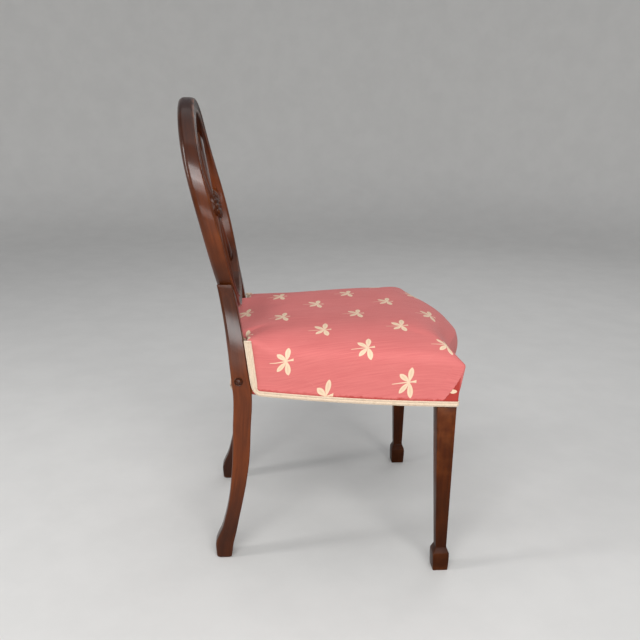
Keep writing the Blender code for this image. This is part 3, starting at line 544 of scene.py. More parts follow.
def buildBackLegs():
    foot, tip = postHeights[0], postHeights[-1]
    heights = np.linspace(foot, tip, backLeg["stations"])
    boxes = postAt(heights)
    turn = np.radians(np.linspace(*backLeg["tipTurn"]))
    lip = backLeg["tipRound"]
    draw = lip * (1 - np.cos(turn))
    ease = draw * backLeg["tipEase"]
    top = tip - lip + lip * np.sin(turn)
    tipBoxes = postAt(top) + np.column_stack([0 * draw, -draw, ease, -ease])
    heights = np.concatenate([[foot, foot + backLeg["footEdge"]], heights[1:-2], top])
    boxes = np.concatenate([boxes[:1], boxes[:1], boxes[1:-2], tipBoxes])
    boxes[0] += np.array((1, -1, 1, -1)) * backLeg["footEdge"]
    rings = []
    for height, box in zip(heights, boxes):
        rear = mix(backLeg["rearEdge"], backLeg["stileRearEdge"], fade(height, railBottom, railTop))
        plan = roundedBox(box, backLeg["frontEdge"], rear)
        rings.append(np.column_stack([plan, np.full(len(plan), height)]))
    rings = closedEnds(rings)
    heart = rings.mean(axis=1, keepdims=True)
    along = np.broadcast_to(runLength(heart[:, 0])[:, None], rings.shape[:2])
    grain = np.dstack([along, (rings - heart)[:, :, :2]])
    for side, sign in sides:
        places = grain + np.array(backLeg["plankStep"]) * (3 - sign)
        leg = gridPiece(f"backLeg_{side}", rings * (sign, 1, 1), 50, {"grainCoord": places})
        finishPiece(leg, mahogany, "mahogany", f"back_leg_{side}")


buildBackLegs()
print("back legs made")


# Front legs: a plane drawn up level by level, with a swelled spade foot

frontLeg = {"edge": 0.0014, "edgeSteps": 3, "spadeSwell": 0.0009, "spadeRise": 1.2, "headDraw": 0.62,
            "headStep": 0.001, "angle": 30,
            "swells": ((0.35, 1.0), (0.7, 1.3)),        # shares of the spade's height and of its swell
            "fullSpade": (0.0026, 0.0020),      # fuller than the solid by this much, ahead and behind
            "fullAnkle": (0.0017, 0.0014), "fullKnee": (0.0034, 0.0024)}


def drawUp(levels):     # levels: (x centre, y centre, width, depth, height)
    x, y, width, depth, height = levels[0]
    deselectAll()
    bpy.ops.mesh.primitive_plane_add(size=1, location=(x, y, height))
    bpy.ops.object.transform_apply(location=True, rotation=False, scale=False)
    bpy.ops.object.mode_set(mode="EDIT")
    bpy.ops.mesh.select_all(action="SELECT")
    bpy.ops.transform.resize(value=(width, depth, 1), center_override=(x, y, height))
    for before, after in zip(levels, levels[1:]):
        step = [after[k] - before[k] for k in (0, 1, 4)]
        drawOn(step, (after[2] / before[2], after[3] / before[3], 1), (after[0], after[1], after[4]))
    bpy.ops.object.mode_set(mode="OBJECT")
    return bpy.context.object


def buildFrontLegs():
    swell, rising, draw = frontLeg["spadeSwell"], frontLeg["spadeRise"], frontLeg["headDraw"]
    spade, slim, stout = [np.array(frontLeg[key]) for key in ("fullSpade", "fullAnkle", "fullKnee")]
    for side, sign in sides:
        node = f"front_leg_{side}"
        heights, boxes = sectionBoxes(node)
        toe, ledge, ankle, knee = heights[:4]

        def level(source, full=(0.0, 0.0), raised=1.0, more=0.0, share=1.0):
            low, high, front, back = [np.interp(source, heights, edge) for edge in boxes.T]
            x, y = (low + high - sign * sum(full)) / 2, (front - full[0] + back + full[1]) / 2
            width, depth = high - low + sum(full) + more, back - front + sum(full) + more
            return x, y, width * share, depth * share, source * raised

        levels = [level(toe, spade)]
        levels += [level(ledge * place, spade, rising, swell * more) for place, more in frontLeg["swells"]]
        levels += [level(ledge, spade, rising), level(ankle, slim, rising),
                   level((ankle + knee) / 2, (slim + stout) / 2), level(knee, stout),
                   level(knee + frontLeg["headStep"], share=draw), level(heights[-1], share=draw)]
        leg = drawUp(levels)
        nameIt(f"frontLeg_{side}")
        editAll(leg)
        bpy.ops.mesh.normals_make_consistent(inside=False)
        bpy.ops.mesh.bevel(offset=frontLeg["edge"], segments=frontLeg["edgeSteps"], affect="EDGES")
        bpy.ops.mesh.remove_doubles(threshold=weld)
        bpy.ops.object.mode_set(mode="OBJECT")
        bpy.ops.object.shade_smooth_by_angle(angle=math.radians(frontLeg["angle"]))
        setGrain(leg, readPoints(leg.data)[:, [2, 0, 1]])
        finishPiece(leg, shadedLegMahogany, "mahogany", node)


buildFrontLegs()
print("front legs made")


# Hoop: a moulded section spun round the wheel's centre, then leaned to the rake of the back

hoop = {"width": 0.030, "depth": 0.034, "bead": 0.004, "hollow": 0.0052, "quirk": 0.0024,
        "outerRound": 0.0125, "innerRound": 0.005, "crestRound": 0.0135, "crestFront": 0.010,
        "crownBand": (65.0, 15.0), "crestAngle": 66.0, "baseAngle": 30.0, "step": 1.5, "jointGap": 0.0002,
        "jointRings": (0.0002, 0.0004, 0.0008), "plankPlace": (0.13, 0.21), "roundSteps": 7,
        "hollowSteps": 11, "quirkLine": ((1.4, 0.3), (1.62, 0.9)), "hollowStart": 1.75}     # in beads and quirks


def hoopSection(crown):
    # (inward, forward) points: round behind, a hollow between two beads in front, fuller at the crest
    width, depth, bead, quirk = hoop["width"], hoop["depth"], hoop["bead"], hoop["quirk"]
    outer, inner = mix(hoop["outerRound"], hoop["crestRound"], crown), hoop["innerRound"]
    quarter = np.radians(np.linspace(0, 90, hoop["roundSteps"]))
    c, s = 1 - np.cos(quarter), 1 - np.sin(quarter)
    back = [np.column_stack([outer * c, outer * s]), np.column_stack([width - inner * s, inner * c])]

    def beadFrom(fall):     # from the side of the ring over a bead and down into the hollow
        dip = [(bead * aside, depth - quirk * down) for aside, down in hoop["quirkLine"]]
        return np.concatenate([np.column_stack([bead * c, depth - fall * s])[::2], dip])

    share = np.linspace(0, 1, hoop["hollowSteps"])
    start = bead * hoop["hollowStart"]
    drop = quirk + (hoop["hollow"] - quirk) * np.sin(share * math.pi)
    hollow = np.column_stack([mix(width - start, start, share), depth - drop])
    inside = beadFrom(bead) * (-1, 1) + (width, 0)
    outside = beadFrom(mix(bead, hoop["crestFront"], crown))[::-1]
    return np.concatenate(back + [inside, hollow, outside])


def leanBack(points):       # from (x, forward as -y, z) in the wheel's plane to the raked back
    return points + np.column_stack([0 * points[:, 2], rearLine(points[:, 2]), 0 * points[:, 2]])


def buildHoopSegment(name, node, start, end):
    gap = hoop["jointGap"] / 2 / wheelRadius
    start, end = math.radians(start) + gap, math.radians(end) - gap
    near = np.array(hoop["jointRings"]) / wheelRadius       # so that no rubbed edge, lightened as wear and painted highlight, spreads from a joint
    turns = np.linspace(start, end, max(5, round(math.degrees(end - start) / hoop["step"])))
    rings, grain = [], []
    for turn in np.concatenate([turns[:1], start + near, turns[1:-1], end - near[::-1], turns[-1:]]):
        section = hoopSection(fade(abs(math.degrees(turn)), *hoop["crownBand"]))
        radius = wheelRadius - section[:, 0]
        x, z = radius * math.sin(turn), wheelHeight + radius * math.cos(turn)
        rings.append(leanBack(np.column_stack([x, -section[:, 1], z])))
        along = np.full(len(radius), turn * wheelRadius + start)
        grain.append(np.column_stack([along, section + hoop["plankPlace"]]))
    segment = gridPiece(name, closedEnds(rings), 35, {"grainCoord": closedEnds(grain)})
    finishPiece(segment, mahogany, "mahogany", node)


crest, base = hoop["crestAngle"], 180 - hoop["baseAngle"]
buildHoopSegment("hoopCrest", "hoop_crest", -crest, crest)
buildHoopSegment("hoopSide_left", "hoop_side_left", crest, base)
buildHoopSegment("hoopBase", "hoop_base", base, 360 - base)
buildHoopSegment("hoopSide_right", "hoop_side_right", 360 - base, 360 - crest)
print("hoop made")


# Wheel: spokes, hub and carved flower

spoke = {"count": 8, "waist": 0.0055, "hubFlare": 0.0035, "rimFlare": 0.012, "setback": 0.009,
         "depth": 0.016, "ridge": 0.0052, "ridgePower": 1.7, "edge": 0.0012, "stations": 40, "seat": 0.0012,
         "footBand": (0.9, 1.0), "hubPower": 4, "rimPower": 7, "ridgeSteps": 15,
         "plankStep": (0.41, 0.09, 0), "plankPlace": (0, 0, 0.05)}
hub = {"lip": 0.0026, "lipSteps": 4, "setback": 0.006, "depth": 0.021, "sides": 72}
flower = {"radius": 0.030, "depth": 0.010, "petals": 12, "scallop": 0.085, "valley": 0.42, "rings": 34,
          "stepsPerPetal": 14, "boss": 0.34, "vein": 0.0009, "veinPower": 6, "bossRipple": 0.0005,
          "lobeRound": 0.7, "petalSpan": (0.09, 0.86), "petalRound": 0.8, "petalHeight": (0.3, 0.42),
          "bossHeight": (0.34, 0.6), "bossRound": 2.4}      # heights as shares of the depth: least, more
hubRadius = (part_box("hub")[1].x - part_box("hub")[0].x) / 2


def spokeSection(half):     # (aside, forward) points: flat behind, a rounded ridge in front
    back, edge = spoke["setback"], spoke["edge"]
    front = back + spoke["depth"]
    middle = (back + front - spoke["ridge"]) / 2
    share = np.linspace(1, -1, spoke["ridgeSteps"])
    ridge = np.column_stack([half * share, front - spoke["ridge"] * np.abs(share) ** spoke["ridgePower"]])
    behind = [(-half, back + edge), (-half + edge, back), (0, back), (half - edge, back),
              (half, back + edge), (half, middle)]
    return np.concatenate([behind, ridge, [(-half, middle)]])


def buildSpokes():
    shares = 0.5 - 0.5 * np.cos(np.linspace(0, math.pi, spoke["stations"]))
    start, end = hubRadius - spoke["seat"], wheelRadius - hoop["width"] + spoke["seat"]
    for number in range(spoke["count"]):
        turn = math.tau * number / spoke["count"]
        rings, grain = [], []
        for share in shares:
            half = spoke["waist"] + spoke["hubFlare"] * (1 - share) ** spoke["hubPower"]
            half += spoke["rimFlare"] * share ** spoke["rimPower"]
            section = spokeSection(half)
            aside = section[:, 0]
            bow = end - np.sqrt(end ** 2 - aside ** 2)      # the foot on the hoop follows its curve
            along = mix(start, end, share) - bow * fade(share, *spoke["footBand"])
            x = along * math.sin(turn) + aside * math.cos(turn)
            z = wheelHeight + along * math.cos(turn) - aside * math.sin(turn)
            rings.append(leanBack(np.column_stack([x, -section[:, 1], z])))
            grain.append(np.column_stack([along, section]))
        places = closedEnds(grain) + np.array(spoke["plankStep"]) * number + spoke["plankPlace"]
        piece = gridPiece(f"spoke_bar_{number + 1}", closedEnds(rings), 35, {"grainCoord": places})
        finishPiece(piece, mahogany, "mahogany", f"spoke_{number + 1}")


def leanPiece(piece, points, node):
    setGrain(piece, points[:, [2, 0, 1]])
    setPoints(piece.data, leanBack(points))
    finishPiece(piece, shadedMahogany, "mahogany", node)


def buildHub():
    deselectAll()
    bpy.ops.mesh.primitive_cylinder_add(vertices=hub["sides"], radius=hubRadius, depth=hub["depth"],
                                        location=(0, 0, 0), rotation=(math.pi / 2, 0, 0))
    bpy.ops.object.transform_apply(location=True, rotation=True, scale=True)
    block = nameIt("wheelHub")
    addModifier(block, "BEVEL", width=hub["lip"], segments=hub["lipSteps"], limit_method="ANGLE")
    tidyMesh(block, 35)
    leanPiece(block, readPoints(block.data) + (0, -hub["setback"] - hub["depth"] / 2, wheelHeight), "hub")


def petalRing(share, turns):        # radius and height of the carving at a share of its width
    lobe = np.abs(np.cos(turns * flower["petals"] / 2)) ** flower["lobeRound"]
    dip = 1 - lobe
    if share > flower["boss"]:
        out = (share - flower["boss"]) / (1 - flower["boss"])
        first, span = flower["petalSpan"]
        swell = math.sin(math.pi * min(1, out * span + first)) ** flower["petalRound"]
        part = fade(out, 0, 1 / 3)
        least, more = flower["petalHeight"]
        height = flower["depth"] * (least + more * swell) * (1 - flower["valley"] * dip * part)
        height = height + flower["vein"] * lobe ** flower["veinPower"] * part * (1 - out)
        return flower["radius"] * share * (1 - flower["scallop"] * dip * out), height
    s = share / flower["boss"]
    least, more = flower["bossHeight"]
    height = flower["depth"] * (least + more * math.sqrt(max(0, 1 - s ** flower["bossRound"])))
    ripple = flower["bossRipple"] * np.cos(turns * flower["petals"]) * math.sin(math.pi * s)
    return flower["radius"] * share, height - ripple


def buildFlower():
    turns = np.linspace(0, math.tau, flower["petals"] * flower["stepsPerPetal"], endpoint=False)
    seatDepth = hub["setback"] + hub["depth"]
    rings = []
    for share in np.linspace(1, 0.02, flower["rings"]):
        radius, height = petalRing(share, turns)
        rings.append(np.column_stack([radius * np.sin(turns), -seatDepth - height,
                                      wheelHeight + radius * np.cos(turns)]))
    rim = rings[0].copy()
    rim[:, 1] = -seatDepth
    carved = gridPiece("carvedFlower", closedEnds([rim] + rings), 50)
    leanPiece(carved, readPoints(carved.data), "patera")


buildSpokes()
buildHub()
buildFlower()
print("wheel made")


# Domed plugs over the screws in the back legs

legPlug = {"collar": 0.0012, "collarEdge": 0.0005, "groove": 0.0074, "floor": 0.0001, "dome": 0.0068,
           "steps": 10, "sink": 0.0006, "sides": 40, "tip": 0.00012}


def buildPlugs():
    collar, ball, floor, edge = legPlug["collar"], legPlug["dome"], legPlug["floor"], legPlug["collarEdge"]
    for side, sign in sides:
        low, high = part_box(f"leg_plug_{side}")
        radius = (high.y - low.y) / 2
        dome = max(abs(low.x), abs(high.x)) - rearHalf
        profile = [(radius, -legPlug["sink"]), (radius, collar * 0.6), (radius - edge, collar),
                   (radius - 2 * edge, collar * 0.9), (legPlug["groove"], floor), (ball, floor)]
        for turn in np.linspace(0, math.pi / 2, legPlug["steps"])[1:]:
            across = max(ball * math.cos(turn), legPlug["tip"])
            profile.append((across, mix(floor, dome, math.sin(turn))))
        deselectAll()
        bpy.ops.mesh.primitive_circle_add(vertices=legPlug["sides"], radius=radius, fill_type="NGON",
                                          location=(0, 0, -legPlug["sink"]))
        bpy.ops.object.transform_apply(location=True, rotation=False, scale=False)
        piece = nameIt(f"legPlug_{side}")
        bpy.ops.object.mode_set(mode="EDIT")
        bpy.ops.mesh.select_all(action="SELECT")
        for (r0, h0), (r1, h1) in zip(profile, profile[1:]):
            drawOn((0, 0, h1 - h0), (r1 / r0, r1 / r0, 1), (0, 0, h1))
        tidyMesh(piece, 40)
        up, aside, out = readPoints(piece.data).T
        middle = (low + high) / 2
        points = np.column_stack([sign * (rearHalf + out), middle.y + sign * aside, middle.z + up])
        setPoints(piece.data, points)
        setGrain(piece, points[:, [1, 0, 2]])
        tidyMesh(piece, 40)
        finishPiece(piece, shadedMahogany, "mahogany", f"leg_plug_{side}")


buildPlugs()
print("plugs made")


# Seat: its plan and walls, measured on the frame

seat = {"frontBow": 0.045, "frontHollow": 0.006, "sideBow": 0.013, "sideSetback": 0.005,
        "cornerRadius": 0.003, "coverOffset": 0.0022, "edgeRoll": 0.006, "sideSwell": 0.0015,
        "postGap": 0.0007, "edge": 0.458, "postEdge": 0.4885, "postReach": 0.075, "fall": 0.025,
        "topReach": 0.985, "topCrowd": 1.75, "crownSquare": 4.0, "crownRound": 0.4, "frontFlat": 0.75,
        "frontRound": 1.45, "frontRise": 0.04, "fill": 0.8, "evenTurns": 40, "widerTurns": 500,
        "cornerPush": 0.002, "cornerDrop": 0.005, "cornerRound": 0.12, "cornerReach": 0.07,
        "ear": 0.0095, "earReach": 0.033, "earTop": 5.0, "earAside": 0.15, "roundTurns": 34,
        "earPower": 1.6, "earLevel": 1.3, "cornerPower": 1.5, "pushPower": 3, "roundPower": 0.7,
        "ease": 0.0525, "easeStart": 0.17, "easeSpan": 0.13,        # give in the cloth
        "rear": 16, "notch": 6, "side": 50, "corner": 5, "front": 46, "wallRings": 13, "topRings": 28,
        "evenFrom": 5, "slopeStep": 0.0003}
band = {"front": (-0.05, 0.06), "round": (0.11, 0.05),      # distances from the corner along the wall
        # shares of the top
        "wider": (0.45, 0.85), "rise": (0, 0.6), "notch": (0.5, 0.98), "fill": (1, 0.7),
        "even": (0.85, 0.4)}
bow = {"middle": ((0, 0.03, 0.06, 0.12), (1, 0.8, 0.3, 0)),      # weights by the distance from the middle
       "flank": ((0, 0.03, 0.055, 0.08, 0.11, 0.15, 0.19), (0, 0.5, 1, 1, 0.7, 0.25, 0)),
       "middlePush": ((0.381, 0.41, 0.43, 0.455, 0.48), (0, 0.002, 0.002, 0.001, 0)),       # by height
       "flankPush": ((0.381, 0.40, 0.43, 0.445, 0.46, 0.48, 0.5), (0, 0.008, 0.0125, 0.011, 0.006, 0, 0))}
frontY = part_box("front_rail")[0].y + seat["frontBow"]
legFront, legBack = postAt(railBottom)[0, 2:]
seatMiddle = (frontY + legBack - seat["frontBow"]) / 2
coverFoot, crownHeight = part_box("seat_cover")[0].z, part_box("seat_cover")[1].z


def sideLine(y):
    share = np.maximum(0, (legFront - y) / (legFront - frontY))
    return mix(rearHalf - seat["sideSetback"], frontHalf, share) + 4 * seat["sideBow"] * share * (1 - share)


def frontLine(x):
    middle = (seat["frontHollow"] - seat["frontBow"]) / 2
    swing = (seat["frontHollow"] + seat["frontBow"]) / 2
    turn = math.tau - math.acos(middle / swing)
    return frontY + middle - swing * np.cos(turn * np.minimum(np.abs(x) / frontHalf, 1))


def wallOffset(z):
    share = np.clip((z - coverFoot) / (seat["edge"] - coverFoot), 0, 1)
    return seat["coverOffset"] + seat["edgeRoll"] * share + seat["sideSwell"] * (1 - np.abs(2 * share - 1))


def wallPlan(z, inset=0.0):     # plan of the wall from the left back leg to the middle of the front
    offset, radius = wallOffset(z) - inset, seat["cornerRadius"]
    y = np.linspace(postAt(z)[0, 2] - seat["postGap"] - inset, frontY + radius, seat["side"])
    side = np.column_stack([sideLine(y) + offset, y])
    heart = np.array((frontHalf - radius, frontY + radius))
    turn = -np.linspace(0, math.pi / 2, seat["corner"] + 2)[1:-1]
    corner = heart + np.column_stack([np.cos(turn), np.sin(turn)]) * (radius + offset)
    x = np.linspace(heart[0], 0, seat["front"])
    slope = (frontLine(x + seat["slopeStep"]) - frontLine(x - seat["slopeStep"])) / (2 * seat["slopeStep"])
    slope[-1] = 0
    normal = np.column_stack([slope, -np.ones_like(slope)]) / np.hypot(slope, 1)[:, None]
    return np.concatenate([side, corner, np.column_stack([x, frontLine(x)]) + normal * offset])


def seatPlan(z, inset=0.0, notch=1.0):      # from the middle of the back by the left side and the front
    inner, outer, front, back = postAt(z)[0]
    wall = wallPlan(z, inset)
    innerX, backY = inner - seat["postGap"] - inset, back + wallOffset(z) - inset
    corner = np.array((mix(wall[0, 0], innerX, notch), mix(backY, wall[0, 1], notch)))
    tail = np.array((mix(wall[0, 0] - (outer - inner) / 2, innerX, notch), backY))
    half = np.concatenate([np.linspace((0, backY), tail, seat["rear"]),
                           np.linspace(tail, corner, seat["notch"])[1:],
                           np.linspace(corner, wall[0], seat["notch"])[1:-1], wall])
    return np.concatenate([half, half[-2:0:-1] * (-1, 1)])


def bothSides(values):
    return np.concatenate([values, values[-2:0:-1]])


wallStart = seat["rear"] + 2 * seat["notch"] - 3
cornerAt = wallStart + seat["side"] + seat["corner"] // 2
halfCount = wallStart + seat["side"] + seat["corner"] + seat["front"]
wallLength = runLength(seatPlan(seat["edge"])[:halfCount])      # from the middle of the back
pastCorner = bothSides(wallLength - wallLength[cornerAt])
fromMiddle = bothSides(wallLength[-1] - wallLength)
pastPost = bothSides(np.maximum(wallLength - wallLength[wallStart], wallLength[seat["rear"]] - wallLength))
nearPost = fade(pastPost, seat["postReach"], 0)
nearCorner = np.maximum(0, 1 - np.abs(pastCorner) / seat["earReach"]) ** seat["earPower"]
cornerWide = np.maximum(0, 1 - np.abs(pastCorner) / seat["cornerReach"]) ** seat["cornerPower"]
cornerEase = fade(np.abs(pastCorner), *band["round"])
atFront = fade(pastCorner, *band["front"])
widerFront = evenRing(atFront, seat["widerTurns"])
atMiddle, atFlank = [np.interp(fromMiddle, *bow[key]) for key in ("middle", "flank")]
column = bothSides(np.arange(halfCount))
zoneFront = (column > cornerAt) + 0.5 * (column == cornerAt)
zoneRear = (column < seat["rear"] + seat["notch"] - 1) * 1.0
zoneSide = 1 - zoneFront - zoneRear


def roundCorners(ring, amount):     # eases the front corners of a ring
    return mix(ring, evenRing(ring, seat["roundTurns"]), (amount * cornerEase)[:, None])


def evenOut(ring, amount):      # draws the points of a ring towards even steps along it
    loop = np.concatenate([ring, ring[:1]])
    along = runLength(loop)
    return pointsAt(loop, mix(along, np.linspace(0, along[-1], len(loop)), amount)[:-1])


def topRing(share, edge, inset):        # at a share of the way from the middle of the top to the walls
    rolled = (1 - share ** seat["crownSquare"]) ** (seat["crownRound"] + seat["cornerRound"] * cornerWide)
    slope = 1 - max(0, (share - seat["frontFlat"]) / (1 - seat["frontFlat"])) ** seat["frontRound"]
    slope *= 1 + seat["frontRise"] * fade(share, *band["rise"])
    lift = mix(rolled, slope, mix(widerFront, atFront, fade(share, *band["wider"])))
    plan = seatPlan(mix(seat["edge"], crownHeight, lift[0]), inset, fade(share, *band["notch"]))
    full = frontY - wallOffset(seat["edge"]) + inset - seat["frontBow"] * (1 - (plan[:, 0] / frontHalf) ** 2)
    filled = seat["fill"] * fade(share, *band["fill"]) * zoneFront
    y = mix(seatMiddle, mix(plan[:, 1], np.minimum(full, plan[:, 1]), filled), share)
    top = crownHeight - inset - seat["fall"] * (y - seatMiddle)
    ring = np.column_stack([plan[:, 0] * share, y, mix(edge, top, lift)])
    return evenOut(roundCorners(ring, lift[0] ** seat["roundPower"]), fade(share, *band["even"]))


def evenCrown(rings, first):        # leaves no ridge from the corners to the middle
    for _ in range(seat["evenTurns"]):
        z = rings[first - 1:, :, 2]
        around = (np.roll(z, 1, axis=1) + np.roll(z, -1, axis=1)) / 2
        inward = (z[:-2] + z[2:]) / 2
        rings[first:-1, :, 2] = (2 * z[1:-1] + around[1:-1] + inward) / 4


def seatRings(inset=0.0, foot=coverFoot, wallRings=seat["wallRings"], topRings=seat["topRings"]):
    # rings from the lower edge of the wall up and in to the crown
    edge = seat["edge"] - seat["fall"] * (seatPlan(seat["edge"], inset)[:, 1] - seatMiddle) - inset
    edge = edge + (seat["postEdge"] - seat["edge"]) * nearPost - seat["cornerDrop"] * cornerWide
    rings = []
    for share in np.linspace(0, 1, wallRings, endpoint=False):
        plan = seatPlan(mix(foot, seat["edge"], share), inset)
        rings.append(np.column_stack([plan, mix(foot, edge, share)]))
    shares = 1 - seat["topReach"] * np.linspace(0, 1, topRings) ** seat["topCrowd"]
    rings = np.array(rings + [topRing(share, edge, inset) for share in shares])
    evenCrown(rings, wallRings + seat["evenFrom"])
    height = rings[:, :, 2]
    level = np.clip((height - foot) / (seat["edge"] - foot), 0, 1) ** seat["earLevel"]
    over = np.clip((height - seat["edge"]) / (crownHeight - seat["edge"]), 0, 1)
    outward = np.concatenate([np.ones(wallRings), shares])[:, None] ** seat["pushPower"]
    push = nearCorner * (seat["ear"] * level * (1 - over) ** seat["earTop"] + seat["cornerPush"] * outward)
    rings[:, :, 1] -= push + atMiddle * np.interp(height, *bow["middlePush"])
    rings[:, :, 1] -= atFlank * np.interp(height, *bow["flankPush"])
    rings[:, :, 0] += np.sign(rings[:, :, 0]) * push * seat["earAside"]
    return rings


def clothPlaces(rings):     # (across, along) on the flat cloth, and the height above its lower edge
    steps = np.diff(rings[::-1], axis=0)
    extra = np.linalg.norm(steps, axis=2) - np.linalg.norm(steps[:, :, :2], axis=2)
    extra = np.concatenate([np.zeros((1, rings.shape[1])), np.cumsum(extra, axis=0)])[::-1]
    reach = np.abs(rings[:, :, 0]) + extra * zoneSide
    eased = seat["ease"] * (1 - np.exp(-np.maximum(0, reach - seat["easeStart"]) / seat["easeSpan"]))
    across = np.sign(rings[:, :, 0]) * (reach + eased)
    along = rings[:, :, 1] + extra * (zoneRear - zoneFront)
    return np.stack([across, along, rings[:, :, 2] - rings[:1, :, 2]], axis=2)


# Coral cloth with a scattered dragonfly figure

cloth = {"coral": (0.59, 0.134, 0.128, 1), "coralPale": (0.675, 0.184, 0.172, 1),
         "unfadedAndShaded": (0.40, 0.036, 0.026, 1), "thread": (0.80, 0.60, 0.42, 1),
         "threadDark": (0.72, 0.55, 0.37, 1), "threadEdge": (-0.0002, 0.0004),
         "rowStep": 0.0945, "rowStart": -0.18, "repeat": 0.161, "start": 0.0068, "rib": 0.0019,
         "foreWing": (0.0330, 0.0056, 0.12), "hindWing": (0.0282, 0.0053, -0.76),       # length, width, lean
         "tail": 0.034, "tailWidth": (0.0016, 0.0009), "head": 0.0135, "headWidth": (0.0014, 0.0021),
         "wingRound": (1.35, 0.75), "wingHeart": (0.55, 0.8),
         "foldTop": (-0.262, 0.454), "foldFoot": (-0.222, 0.381),       # places on the side: y, z
         "foldEdge": (-0.0075, -0.006), "foldBelow": (0.458, 0.447),
         "foldSide": (0.01, 0.006), "foldFront": (0.0085, 0.002),       # inside the side and past the front
         "petal": (-0.2412, 0.4015), "petalSize": (0.0082, 0.0046)}


def makeFigureGroup():      # in staggered rows: two pairs of wings, a tail and a head
    group, given, result = newGroup("dragonfly", {"Vector": None}, ("Figure", "Heart"))
    across, along, _ = splitAxes(given["Vector"])
    across = across - cloth["rowStart"]
    row = calc("ROUND", across / cloth["rowStep"])
    u = abs(across - row * cloth["rowStep"])
    half = cloth["repeat"] / 2
    v = calc("WRAP", along - cloth["start"] + calc("FLOORED_MODULO", row, 2.0) * half, half, -half)
    shapes, hearts = [], []
    rootRound, tipRound = cloth["wingRound"]
    for length, width, lean in (cloth["foreWing"], cloth["hindWing"]):
        c, s = math.cos(lean), math.sin(lean)
        share = calc("MINIMUM", calc("MAXIMUM", (u * c - v * s) / length, 0.0), 1.0)
        share = calc("POWER", share, rootRound)
        inside = calc("POWER", share * (1.0 - share) * 4.0, tipRound) * width - abs(u * s + v * c)
        shapes.append(rise(inside, *cloth["threadEdge"]))
        hearts.append(rise(inside, *[width * place for place in cloth["wingHeart"]]))
    tail, head = v / cloth["tail"], v / -cloth["head"]
    tailWide, tailTaper = cloth["tailWidth"]
    headWide, headFlare = cloth["headWidth"]
    tailIn = tailWide - tail * tailTaper - u
    shapes.append(rise(tailIn, *cloth["threadEdge"]) * (rise(tail, -0.02, 0.02) * rise(tail, 1.02, 0.98)))
    headIn = calc("POWER", calc("MAXIMUM", head, 0.0), 2.0) * headFlare + headWide - u
    shapes.append(rise(headIn, *cloth["threadEdge"]) * (rise(head, -0.05, 0.05) * rise(head, 1.03, 0.97)))
    feed(result, {"Figure": largest(*shapes), "Heart": largest(*hearts)})
    return group


def makeWeaveGroup():       # fine ribs along the cloth, broken by the threads that cross them
    group, given, result = newGroup("ribWeave", {"Vector": None, "Rib": 0.002}, ("Height", "Streak"))
    across, along, _ = splitAxes(given["Vector"])
    rib = calc("SINE", across / given["Rib"] * math.tau)
    cross = calc("SINE", along / given["Rib"] * 11.0)
    slub = noise(stretch(given["Vector"], (620, 14, 40)), 1.0, 3.0, 0.6)
    feed(result, {"Height": rib * 0.5 + cross * 0.16 + slub, "Streak": rib * 0.12 + slub})
    return group


def foldMask(tree, x, y, z):        # the deeper red in front of the fold at a front corner: unfaded cloth and painted shade
    (y1, z1), (y0, z0) = cloth["foldTop"], cloth["foldFoot"]
    length = math.hypot(y1 - y0, z1 - z0)
    ahead = (y - y0) * (-(z1 - z0) / length) + (z - z0) * ((y1 - y0) / length)
    fold = rise(ahead, *cloth["foldEdge"]) - attribute(tree, "flapMark", "Fac")
    fold = fold * rise(abs(x), *[frontHalf - depth for depth in cloth["foldSide"]])
    fold = fold * rise(y, *[frontY - depth for depth in cloth["foldFront"]])
    return fold * rise(z, *cloth["foldBelow"])


def makeCloth():
    constants = {"Roughness": 0.7, "Sheen Weight": 0.1, "Sheen Roughness": 0.4,
                 "Sheen Tint": (1.0, 0.86, 0.84, 1), "IOR": 1.4}
    material, tree, shader = newMaterial("coralCloth", constants)
    vector = attribute(tree, "clothCoord")
    x, y, z = splitAxes(objectPlace(tree))
    weave = useGroup(makeWeaveGroup(), {"Vector": vector, "Rib": cloth["rib"]})
    figure = useGroup(makeFigureGroup(), {"Vector": vector})
    color = blendColor(rise(weave["Streak"], 0.28, 0.78), cloth["coral"], cloth["coralPale"])
    color = blendColor(rise(noise(vector, 14.0), 0.35, 0.7, 0.0, 0.35), color, cloth["coralPale"])
    # deeper red in front of the corner fold and in a broken band just above the braid: unfaded cloth and painted
    # shade
    fold = foldMask(tree, x, y, z)
    unfadedAndShadedHem = rise(z + noise(vector, 90.0) * -0.012, coverFoot + 0.0085, coverFoot + 0.004)
    unfadedAndShadedHem = unfadedAndShadedHem * rise(noise(vector, 9.0, 2.0), 0.34, 0.56)
    color = blendColor(largest(fold, unfadedAndShadedHem * 0.8), color, cloth["unfadedAndShaded"])
    thread = blendColor(figure["Heart"], cloth["thread"], cloth["threadDark"])
    petalY = abs(y - cloth["petal"][0]) / cloth["petalSize"][0]
    petalZ = (z - cloth["petal"][1]) / cloth["petalSize"][1]
    petal = rise(calc("POWER", petalY, 1.5) + petalZ * petalZ, 1.05, 0.9) * fold
    color = blendColor(largest(figure["Figure"] * (1.0 - fold), petal), color, thread)
    feed(shader, {"Base Color": color})
    setBump(shader, weave["Height"] + figure["Figure"] * 1.4, 0.35, 0.0004)
    return material


coralCloth = makeCloth()
coverSwell = {"thickness": 0.0016, "shrink": 0.003, "shrinkFrom": 0.03, "pressure": 0.8, "frames": 20,
              "cap": 0.006, "stiffness": 40.0, "bending": 0.6, "evenTurns": 12, "tacked": 0.012,
              "postTacked": 0.014, "postBand": (0.008, 0.068)}


